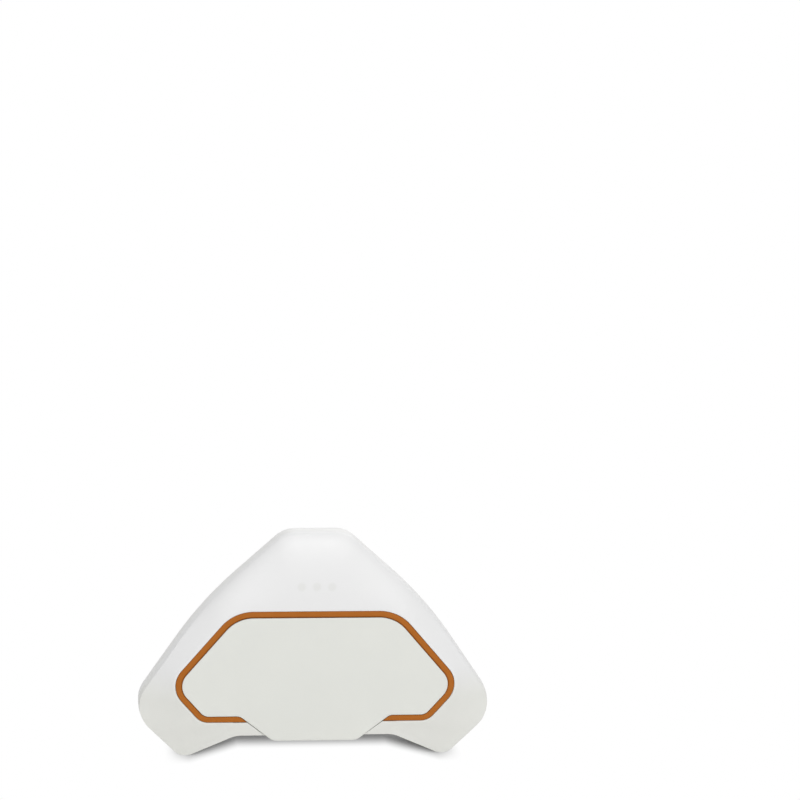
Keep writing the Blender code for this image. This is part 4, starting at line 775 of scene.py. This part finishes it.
def rear_skin(shrink):
    skin = []
    for step in range(ROUND_STEPS + 1):
        turn = step / ROUND_STEPS * pi / 2
        skin.append((case_reach(-shrink) - REAR_INSET * (1 - cos(turn)),
                     STRAIGHT_WALL_Y + (BACK_Y - shrink - STRAIGHT_WALL_Y) * sin(turn), 0))
    return skin


rear_case = ring_body("rear_case", [
    *reversed(rear_skin(WALL)), *reversed(rim_rows(REAR_RIM_Y, -1)), *rear_skin(0)])
report("rear casing", rear_case)

# %% [markdown]
# The back carries three snap sockets, four screws and a blank label, each in its own recess. The round ones
# get a small chamfer, because a moulded edge is never knife-sharp.

# %% Cut the rear casing
CHAMFER = 0.35 * MM
SCREW_NAMES = [f"case_screw_{number}" for number in (1, 2, 3, 4)]
SNAP_NAMES = ["snap_socket_top", "snap_socket_left", "snap_socket_right"]
HEAD_RADIUS, HEAD_HEIGHT, SCREW_RADIUS, BORE_LENGTH = mm(2.3, 1.5, 1.1, 4)
BARREL_RADIUS = 4.1 * MM
label_low, label_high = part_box("type_label")
LABEL_FILLET = 1.5 * MM
LABEL_CORNERS = mirrored([(label_high.x, height, LABEL_FILLET) for height in (label_high.z, label_low.z)])


def middle_of(name):
    low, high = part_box(name)
    return (low.x + high.x) / 2, (low.z + high.z) / 2


def chamfered_hole(name, radius, centre, bottom):
    """A round hole from a depth out through the back, wider at its mouth."""
    profile = [(radius, 0), (radius, BACK_Y - CHAMFER - bottom), (radius + CHAMFER, BACK_Y - bottom),
               (radius + CHAMFER, BACK_Y - bottom + OVERRUN)]
    return turned_body(name, profile, (centre[0], bottom, centre[1]))


def rear_cutters():
    for name in SCREW_NAMES:
        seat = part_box(name)[1].y - HEAD_HEIGHT
        across, height = middle_of(name)
        yield chamfered_hole("screw_sink", HEAD_RADIUS + SEAT_GAP, (across, height), seat - SEAT_GAP)
        yield turned_body("screw_bore", [(SCREW_RADIUS + SEAT_GAP, along) for along in (0, BORE_LENGTH)],
                          (across, seat - 3 * MM, height), sides=24)
    for name in SNAP_NAMES:
        yield chamfered_hole("snap_hole", BARREL_RADIUS + SEAT_GAP, middle_of(name), BACK_Y - WALL - OVERRUN)
    yield outline_body("label_recess", round_corners(offset_corners(LABEL_CORNERS, SEAT_GAP)),
                       label_low.y - SEAT_GAP, BACK_Y + OVERRUN)


apply_boolean(rear_case, rear_cutters(), "DIFFERENCE")
set_piece(rear_case, "white_case", "rear_shell")
report("rear casing after the cuts,", rear_case)

# %% [markdown]
# ## Orange seal
#
# The seal is one silicone ring with a slightly crowned top and a thin lip under the edge of the cover.
# Where the tab crosses it, it dips into a deeper channel. So we join a lower bar to the plain ring there
# and cut both with the outline of the tab.

# %% Make the seal
SEAL_CROWN, SEAL_INNER_LIP, BAR_INSET = mm(0.08, 0.12, 0.05)
WIPER_LIP, WIPER_WALL = mm(0.5, 0.3)

inside, outside, lip = (seal_reach(growth) for growth in (
    -SEAL_HALF - SEAL_INNER_LIP, SEAL_HALF, -SEAL_HALF - WIPER_LIP))
stripe = ring_body("stripe", [
    (lip, SEAL_BACK_Y, 0.05 * MM), (lip, SEAL_BACK_Y - WIPER_WALL, 0.05 * MM),
    (inside, SEAL_BACK_Y - WIPER_WALL, 0), (inside, SEAL_FRONT_Y, 0.4 * MM),
    (seal_reach(), SEAL_FRONT_Y - SEAL_CROWN, 0.7 * MM),
    (outside, SEAL_FRONT_Y, 0.4 * MM), (outside, SEAL_BACK_Y, 0.1 * MM)], closed=True)
dip_bar = block("dip_bar", (-DIP_HALF, SEAL_FRONT_Y + RUN_GAP, SEAL_BOTTOM - SEAL_HALF + BAR_INSET),
                (DIP_HALF, DIP_BACK_Y, SEAL_BOTTOM + SEAL_HALF - BAR_INSET))
apply_boolean(stripe, [dip_bar], "UNION")
apply_boolean(stripe, [outline_body("dip_cut", round_corners(offset_corners(tab_corners(), SEAT_GAP)),
                                    SEAL_FRONT_Y - OVERRUN, DIP_FRONT_Y)], "DIFFERENCE")
make_finish("orange_seal", (0.422, 0.127, 0.008), (0.394, 0.115, 0.006), 0.62, grain=0.3,
            depth=0.004, patch=9, specular=0.3)
set_piece(stripe, "orange_seal", "stripe_seal", degrees=40)
report("seal", stripe)

# %% [markdown]
# ## Cover
#
# The cover is a flat moulding with a softly rounded front edge. Its side draws in towards the back, so that
# it clears the seal as it swings.

# %% Make the cover's plate
COVER_SOFT, COVER_RIM = mm(0.45, 1.3)
cover = ring_body("cover_panel", [
    (cover_reach(0, -COVER_RIM), FACE_Y, 0),
    (cover_reach(), FACE_Y, COVER_SOFT),
    (cover_reach(COVER_DRAFT), COVER_BACK_Y, COVER_SOFT / 2),
    (cover_reach(COVER_DRAFT, -COVER_RIM), COVER_BACK_Y, 0),
])
report("cover", cover)

# %% [markdown]
# Each arm is drawn as its side view: an arc round the pin, a leg back to it, and an eye. A low frame with
# two cross ribs stiffens the plate behind the shelf.

# %% Add the hinge arms and the ribs
ARM_STEPS = 28
ARM_START, ARM_END = radians(-25), radians(90)
EYE_BOSS = 0.15 * MM
RIB_HEIGHT, RIB_WIDTH = mm(0.9, 1.0)
RIB_HALF, RIB_LOW, RIB_HIGH = mm(25.0, 21.5, 35.5)


def arm_outline():
    def arc(radius, count):
        angles = [ARM_START + (ARM_END - ARM_START) * step / ARM_STEPS for step in range(count)]
        return [(HINGE_Y + radius * sin(angle), HINGE_Z - radius * cos(angle)) for angle in angles]

    half_leg = (ARM_OUTER - ARM_INNER) / 2
    leg = [(HINGE_Y + ARM_OUTER, HINGE_Z + half_leg), (HINGE_Y, HINGE_Z + half_leg),
           (HINGE_Y, HINGE_Z - half_leg), (HINGE_Y + ARM_INNER - half_leg, HINGE_Z - half_leg)]
    return arc(ARM_OUTER, ARM_STEPS + 1) + leg + arc(ARM_INNER, ARM_STEPS)[::-1]


def hinge_arm(place):
    low, high = place - ARM_WIDTH / 2, place + ARM_WIDTH / 2
    arm = outline_body("hinge_arm", arm_outline(), low, high, across="X")
    eye = turned_body("hinge_eye", [(EYE_RADIUS, 0), (EYE_RADIUS, ARM_WIDTH + 2 * EYE_BOSS)],
                      (low - EYE_BOSS, HINGE_Y, HINGE_Z), direction=(1, 0, 0), sides=32)
    apply_boolean(arm, [eye], "UNION")
    trim = block("arm_trim", (low - OVERRUN, FACE_Y - ARM_OUTER, ARM_LOW - ARM_OUTER),
                 (high + OVERRUN, FACE_Y + 0.9 * MM, HINGE_Z))
    apply_boolean(arm, [trim], "DIFFERENCE")
    return arm


def cover_ribs():
    front, back = COVER_BACK_Y - WALL / 4, COVER_BACK_Y + RIB_HEIGHT
    for height in (RIB_LOW, RIB_HIGH - RIB_WIDTH):
        yield block("rib", (-RIB_HALF, front, height), (RIB_HALF, back, height + RIB_WIDTH))
    for across in (-RIB_HALF, -RIB_HALF / 3, RIB_HALF / 3 - RIB_WIDTH, RIB_HALF - RIB_WIDTH):
        yield block("rib", (across, front, RIB_LOW + RIB_WIDTH / 2),
                    (across + RIB_WIDTH, COVER_BACK_Y + RIB_HEIGHT * 0.9, RIB_HIGH - RIB_WIDTH / 2))


apply_boolean(cover, [hinge_arm(-ARM_PLACE), hinge_arm(ARM_PLACE), *cover_ribs()], "UNION")
apply_boolean(cover, [hinge_bore(0)], "DIFFERENCE")
make_finish("white_cover", (0.742, 0.75, 0.708), (0.758, 0.766, 0.722), 0.42, grain=0.35,
            depth=0.004, patch=22)
set_piece(cover, "white_cover", "bay_cover", "cover")
report("cover with arms,", cover)

# %% [markdown]
# ## Finishes of the other pieces
#
# The same recipe serves the pieces inside and on the back. A mask shaped like a box lets us print on them:
# a band, a frame, a plus sign.

# %% More finishes
make_finish("tray_grey", (0.50, 0.51, 0.52), (0.54, 0.55, 0.56), 0.55, grain=0.3, depth=0.008)
make_finish("black_rubber", (0.018, 0.018, 0.018), (0.028, 0.028, 0.028), 0.7, grain=0.2)
make_finish("plated_steel", (0.62, 0.61, 0.59), (0.70, 0.69, 0.67), 0.3, metallic=1.0, depth=0.003, patch=3)
make_finish("gold_contact", (0.80, 0.56, 0.22), (0.86, 0.62, 0.27), 0.25, metallic=1.0, depth=0.002, patch=2)
make_finish("snap_plating", (0.72, 0.72, 0.71), (0.78, 0.78, 0.77), 0.2, metallic=1.0, depth=0.002, patch=3)
make_finish("board_green", (0.015, 0.13, 0.05), (0.02, 0.16, 0.065), 0.4, patch=5, coat=0.3)
make_finish("chip_black", (0.018, 0.018, 0.02), (0.03, 0.03, 0.033), 0.55, grain=0.15, patch=3)
make_finish("clear_guide", (0.80, 0.80, 0.80), (0.86, 0.86, 0.86), 0.15, patch=3)
make_finish("led_white", (0.85, 0.82, 0.62), (0.90, 0.87, 0.70), 0.35, patch=2)
make_finish("lead_jacket", (0.48, 0.04, 0.03), (0.55, 0.06, 0.045), 0.45, patch=4)
make_finish("label_grey", (0.58, 0.58, 0.58), (0.63, 0.63, 0.63), 0.45, patch=8)
make_finish("cell_jacket", (0.03, 0.09, 0.19), (0.04, 0.11, 0.22), 0.32, depth=0.001, patch=8)
make_finish("card_black", (0.02, 0.02, 0.022), (0.03, 0.03, 0.033), 0.45, patch=4)
PRINT_SOFT = 0.04 * MM


def paint(finish, colour, low, high):
    """Print a box-shaped patch of another colour on a finish. An axis without limits has None."""
    tree = finishes[finish].node_tree
    axes = own_axes(tree)
    mask = 1.0
    for axis, start, end in zip("XYZ", low, high):
        if start is None:
            continue
        for edge, inwards in ((start, PRINT_SOFT), (end, -PRINT_SOFT)):
            mask = combine(tree, "MULTIPLY", mask, ramp(tree, axes[axis], edge - inwards, edge + inwards))
    base = tree.nodes["Principled BSDF"].inputs["Base Color"]
    tree.links.new(mix_colours(tree, mask, base.links[0].from_socket, colour), base)


print("finishes:", len(finishes))

# %% [markdown]
# ## Pieces on the back
#
# A snap socket is a turned cup with a rolled lip. A wire ring in a groove of its bore grips the stud of the
# electrode.

# %% Snap sockets, screws and label
SNAP_FLANGE, SNAP_BORE, SNAP_DEPTH, SNAP_WIRE = mm(5.4, 2.1, 2.6, 0.22)
SNAP_LIP, SNAP_MOUTH, SNAP_GROOVE, RING_DEPTH = mm(0.6, 0.5, 0.25, 1.15)
ROLL_STEPS = 6


def snap_cup(name):
    low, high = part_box(name)
    length = high.y - low.y

    def rolled(radius, size):
        turns = [pi / 2 * step / ROLL_STEPS for step in range(ROLL_STEPS + 1)]
        return [(radius + size * (1 - sin(turn)), length - abs(size) * (1 - cos(turn))) for turn in turns]

    groove = [(SNAP_BORE, length - 0.8 * MM), (SNAP_BORE + SNAP_GROOVE, length - 0.95 * MM),
              (SNAP_BORE + SNAP_GROOVE, length - 1.35 * MM), (SNAP_BORE, length - 1.5 * MM)]
    profile = [(SNAP_FLANGE - 0.2 * MM, 0), (SNAP_FLANGE, 0.2 * MM), (SNAP_FLANGE, 0.8 * MM),
               (SNAP_FLANGE - 0.2 * MM, 1.0 * MM), (BARREL_RADIUS, 1.0 * MM),
               *rolled(BARREL_RADIUS, -SNAP_LIP)[::-1], *rolled(SNAP_BORE, SNAP_MOUTH), *groove,
               (SNAP_BORE, length - SNAP_DEPTH)]
    across, height = middle_of(name)
    return turned_body(name + "_cup", profile, (across, low.y, height), sides=64)


def snap_ring(name):
    across, height = middle_of(name)
    bpy.ops.mesh.primitive_torus_add(
        major_segments=48, minor_segments=10, major_radius=SNAP_BORE, minor_radius=SNAP_WIRE,
        location=(across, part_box(name)[1].y - RING_DEPTH, height), rotation=(pi / 2, 0, 0))
    ring = bpy.context.object
    ring.name = name + "_ring"
    bpy.ops.object.transform_apply()
    return ring


def case_screw(name):
    low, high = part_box(name)
    across, height = middle_of(name)
    head = [(1.25, 0), (1.7, 0.05), (2.05, 0.17), (2.25, 0.36), (2.3, 0.55), (2.3, 1.38), (2.2, 1.5),
            (1.1, 1.5)]
    thread = [((1.1, 0.85)[step % 2], 2.2 + 0.4 * step) for step in range(24)]
    profile = [mm(radius, along) for radius, along in head + thread] + [(0.5 * MM, high.y - low.y)]
    screw = turned_body(name + "_turned", profile, (across, high.y, height), direction=(0, -1, 0), sides=40)
    drive = turned_body("drive", [(0.9 * MM, 0), (0.9 * MM, 2 * OVERRUN)],
                        (across, high.y - 0.8 * MM, height), sides=6)
    apply_boolean(screw, [drive], "DIFFERENCE")
    return screw


for name in SNAP_NAMES:
    set_piece(snap_cup(name), "snap_plating", name)
    set_piece(snap_ring(name), "plated_steel")
for name in SCREW_NAMES:
    set_piece(case_screw(name), "plated_steel", name)

label = outline_body("blank_label", round_corners(LABEL_CORNERS), label_low.y, label_high.y)
round_edges(label, 0.06 * MM)
for inset, colour in ((1.2 * MM, (0.12, 0.12, 0.13)), (1.45 * MM, (0.60, 0.60, 0.60))):
    paint("label_grey", colour, (label_low.x + inset, None, label_low.z + inset),
          (label_high.x - inset, None, label_high.z - inset))
set_piece(label, "label_grey", "type_label")
print("turned pieces on the back:", len(SNAP_NAMES) * 2 + len(SCREW_NAMES))

# %% [markdown]
# ## The battery and its contacts
#
# The cell is a steel can with a nub, in a printed sleeve with rolled edges. Its spring is a small circle
# extruded along a narrowing helix.

# %% Battery, spring and contacts
cell_low, cell_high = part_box("battery_cell")
CELL_Y = (cell_low.y + cell_high.y) / 2
CELL_Z = (cell_low.z + cell_high.z) / 2
CELL_RADIUS = (cell_high.z - cell_low.z) / 2
NUB_LENGTH, BAND_LENGTH, STRIPE_LENGTH = mm(1.3, 11, 1.2)
CELL_LENGTH = cell_high.x - cell_low.x - NUB_LENGTH


def cell_body(name, profile):
    """A turned piece of the cell. Its profile is in millimetres, from its flat end."""
    return turned_body(name, [mm(radius, along) for radius, along in profile],
                       (cell_low.x, CELL_Y, CELL_Z), direction=(1, 0, 0), sides=72)


band = cell_high.x - NUB_LENGTH - BAND_LENGTH
paint("cell_jacket", (0.55, 0.27, 0.11), (band, None, None), (cell_high.x, None, None))
paint("cell_jacket", (0.62, 0.62, 0.60), (band - STRIPE_LENGTH, None, None), (band, None, None))
for sign_x, halves in ((band + 5.5 * MM, ((1.6, 0.35), (0.35, 1.6))), (cell_low.x + 5 * MM, ((1.6, 0.35),))):
    for wide, tall in halves:
        wide, tall = mm(wide, tall)
        paint("cell_jacket", (0.75, 0.75, 0.73), (sign_x - wide, cell_low.y - MM, CELL_Z - tall),
              (sign_x + wide, cell_low.y + 2 * MM, CELL_Z + tall))
end, nub_end, radius = CELL_LENGTH / MM, (CELL_LENGTH + NUB_LENGTH) / MM, CELL_RADIUS / MM
set_piece(cell_body("cell_can", [
    (5.9, 0.1), (6.1, 0), (6.7, 0.1), (7.0, 0.5), (7.0, end - 0.3), (3.5, end - 0.3), (2.75, end),
    (2.75, end + 1.05), (2.5, nub_end)]), "plated_steel")
set_piece(cell_body("cell_sleeve", [
    (6.5, 0.62), (6.85, 0.45), (7.12, 0.5), (radius, 0.85), (radius, end - 0.6), (7.1, end - 0.15),
    (6.8, end), (6.4, end - 0.1), (6.3, end - 0.25)]), "cell_jacket", "battery_cell")

SPRING_WIRE, SPRING_TURNS, SPRING_STEPS, WIRE_SIDES = 0.35 * MM, 3.5, 126, 12
SPRING_RADIUS, SPRING_TAPER = mm(3.2, 1.2)
spring_low, spring_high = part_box("battery_spring")
spring_route = []
for step in range(SPRING_STEPS + 1):
    share = step / SPRING_STEPS
    angle, radius = tau * SPRING_TURNS * share, SPRING_RADIUS - SPRING_TAPER * share
    spring_route.append(Vector((
        spring_low.x + SPRING_WIRE + (spring_high.x - spring_low.x - 2 * SPRING_WIRE) * share,
        CELL_Y + radius * cos(angle), CELL_Z + radius * sin(angle))))
rows = []
for index, place in enumerate(spring_route):
    ahead = (spring_route[min(index + 1, SPRING_STEPS)] - spring_route[max(index - 1, 0)]).normalized()
    first = ahead.cross(Vector((1, 0, 0))).normalized()
    second = ahead.cross(first)
    rows.append([place + first * one + second * two for one, two in circle(SPRING_WIRE, WIRE_SIDES)])
set_piece(skin_body("spring_wire", rows), "plated_steel", "battery_spring")

for name, inwards in (("contact_positive", -1), ("contact_negative", 1)):
    low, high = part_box(name)
    contact = block(name + "_plate", low, high, 0.12 * MM, 3)
    boss = turned_body("boss", [mm(1.9, -0.1), mm(1.7, 0.1), mm(1.2, 0.2)],
                       (low.x if inwards < 0 else high.x, CELL_Y, CELL_Z), direction=(inwards, 0, 0), sides=32)
    apply_boolean(contact, [boss], "UNION")
    set_piece(contact, "plated_steel", name)
print("battery length in mm:", round((cell_high.x - cell_low.x) / MM, 1))

# %% [markdown]
# ## The shelf
#
# Beside the battery lies a shelf. Its memory card gets grip ridges and a blank label, its data socket a
# black tongue with five gilt contacts, and its start button a shallow dish for the fingertip.

# %% Card, data socket and button
card_low, card_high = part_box("memory_card")
CARD_FILLET, RIDGE_PITCH = mm(0.8, 0.7)
corners = [(corner.x, height, CARD_FILLET) for corner, height in (
    (card_low, card_high.z), (card_high, card_high.z), (card_high, card_low.z), (card_low, card_low.z))]
card = outline_body("card_body", round_corners(corners), card_low.y, card_high.y)
round_edges(card, 0.1 * MM)
ridges = [block("ridge", (card_low.x + RIDGE_PITCH * step, card_low.y - 0.14 * MM, card_low.z + 2 * MM),
                (card_low.x + RIDGE_PITCH * step + 0.3 * MM, card_low.y + 0.2 * MM, card_high.z - 2 * MM),
                0.05 * MM) for step in (1, 2, 3)]
apply_boolean(card, ridges, "UNION")
paint("card_black", (0.42, 0.43, 0.45), (card_low.x + 4.2 * MM, card_low.y - MM, card_low.z + 1.4 * MM),
      (card_high.x - 1.6 * MM, card_low.y + 0.3 * MM, card_high.z - 1.4 * MM))
set_piece(card, "card_black", "memory_card", "memory_card")

USB_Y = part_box("usb_socket")[0].y
USB_X, USB_Z = middle_of("usb_socket")
tongue = block("data_tongue", (USB_X - 2.45 * MM, USB_Y + 0.35 * MM, USB_Z - 0.54 * MM),
               (USB_X + 2.45 * MM, USB_Y + 5.3 * MM, USB_Z + 0.54 * MM), 0.12 * MM, 3)
set_piece(tongue, "chip_black")
for step in range(5):
    middle = USB_X + (step - 2) * 0.8 * MM
    strip = block(f"data_contact_{step + 1}", (middle - 0.2 * MM, USB_Y + 0.7 * MM, USB_Z - 0.6 * MM),
                  (middle + 0.2 * MM, USB_Y + 5.2 * MM, USB_Z + 0.6 * MM), 0.05 * MM)
    set_piece(strip, "gold_contact")

button_low, button_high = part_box("start_button")
BUTTON_RADIUS, BUTTON_DISH, DISH_END = 3.8 * MM, 0.4 * MM, 0.88
BUTTON_FLANGE, FLANGE_HEIGHT = (button_high.z - button_low.z) / 2, 0.6 * MM
button_length = button_high.y - button_low.y
dish = [(BUTTON_RADIUS * share, BUTTON_DISH * (1 - (share / DISH_END) ** 2))
        for share in (0.08, 0.25, 0.42, 0.58, 0.73, 0.84)]
rim = [(BUTTON_RADIUS - inset * MM, along * MM)
       for inset, along in ((0.38, 0), (0.2, 0.04), (0.06, 0.16), (0, 0.4))]
flange = [(BUTTON_RADIUS, button_length - FLANGE_HEIGHT), (BUTTON_FLANGE, button_length - FLANGE_HEIGHT),
          (BUTTON_FLANGE, button_length)]
across, height = middle_of("start_button")
button = turned_body("button_cap", dish + rim + flange, (across, button_low.y, height), sides=64)
set_piece(button, "orange_seal", "start_button", "start_button")

PIN_CHAMFER = 0.15 * MM
pin = turned_body("pin_turned", [
    (PIN_RADIUS - PIN_CHAMFER, 0), (PIN_RADIUS, PIN_CHAMFER), (PIN_RADIUS, PIN_LENGTH - PIN_CHAMFER),
    (PIN_RADIUS - PIN_CHAMFER, PIN_LENGTH)], (hinge_low.x, HINGE_Y, HINGE_Z), direction=(1, 0, 0), sides=32)
set_piece(pin, "plated_steel", "hinge_pin")
print("shelf pieces made, pin length in mm:", round(PIN_LENGTH / MM, 1))

# %% [markdown]
# ## Softer edges for the rest
#
# The other pieces have the right shapes already, but light never finds a sharp edge in a real moulding. So
# a copy of each gets slightly round edges. Each row gives the finish, the width of the round in
# millimetres, and the pieces.

# %% Round the edges of the other pieces
SOFT_EDGES = [
    ("tray_grey", 0.25, "battery_tray"), ("plated_steel", 0.12, "card_socket"),
    ("plated_steel", 0.1, "usb_socket"), ("plated_steel", 0.12, "tact_switch"),
    ("black_rubber", 0.1, "switch_plunger"), ("board_green", 0.08, "main_board indicator_board"),
    ("chip_black", 0.12, "processor_chip amplifier_chip"), ("chip_black", 0.2, "buzzer"),
    ("plated_steel", 0.2, "radio_can"), ("plated_steel", 0.15, "clock_crystal"),
    ("plated_steel", 0.2, "supply_capacitor"), ("snap_plating", 0.2, "backup_cell"),
    ("plated_steel", 0.12, "board_screw_left board_screw_right"),
    ("clear_guide", 0.12, "light_pipe_left light_pipe_centre light_pipe_right"),
    ("led_white", 0.1, "indicator_led_left indicator_led_centre indicator_led_right"),
]


def soft_copy(name, width):
    """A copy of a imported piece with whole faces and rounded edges."""
    source = nodes[name]
    piece = source.copy()
    piece.data = source.data.copy()
    piece.name = name + "_soft"
    scene.collection.objects.link(piece)
    piece.parent = None
    piece.data.transform(source.matrix_world)
    piece.matrix_world = Matrix.Identity(4)
    pick(piece)
    bpy.ops.object.mode_set(mode="EDIT")
    bpy.ops.mesh.select_all(action="SELECT")
    bpy.ops.mesh.remove_doubles(threshold=MERGE_GAP)
    bpy.ops.mesh.dissolve_limited(angle_limit=radians(1))
    bpy.ops.object.mode_set(mode="OBJECT")
    round_edges(piece, width * MM, degrees=35)
    return piece


for finish, width, members in SOFT_EDGES:
    for name in members.split():
        piece = soft_copy(name, width)
        if name == "card_socket":
            low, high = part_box(name)
            windows = [block("window", (low.x + 3 * MM, low.y - MM, height),
                             (high.x - 3 * MM, low.y + 0.2 * MM, height + 1.5 * MM))
                       for height in (low.z + 3 * MM, high.z - 4.5 * MM)]
            apply_boolean(piece, windows, "DIFFERENCE")
        set_piece(piece, finish, name, "start_button" if name == "switch_plunger" else "case")
        report(name, piece)

# %% Give the gasket and the wires, which stay as packed, their finishes
give(nodes["casing_seal"], "black_rubber")
for name in ("electrode_lead_top", "electrode_lead_left", "electrode_lead_right", "indicator_cable"):
    give(nodes[name], "lead_jacket")
plain = [name for name, node in nodes.items() if node.data.materials[0] not in finishes.values()]
print("packed pieces without a finish:", plain)

# %% [markdown]
# ## Sizes and end
#
# Last we print the box of the finished model and that of the imported one.

# %% Print the sizes
visual_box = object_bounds()
for title, box in (("packed", cad_box), ("visual", visual_box)):
    print(title, "box in mm:", [[round(value / MM, 2) for value in corner] for corner in box])
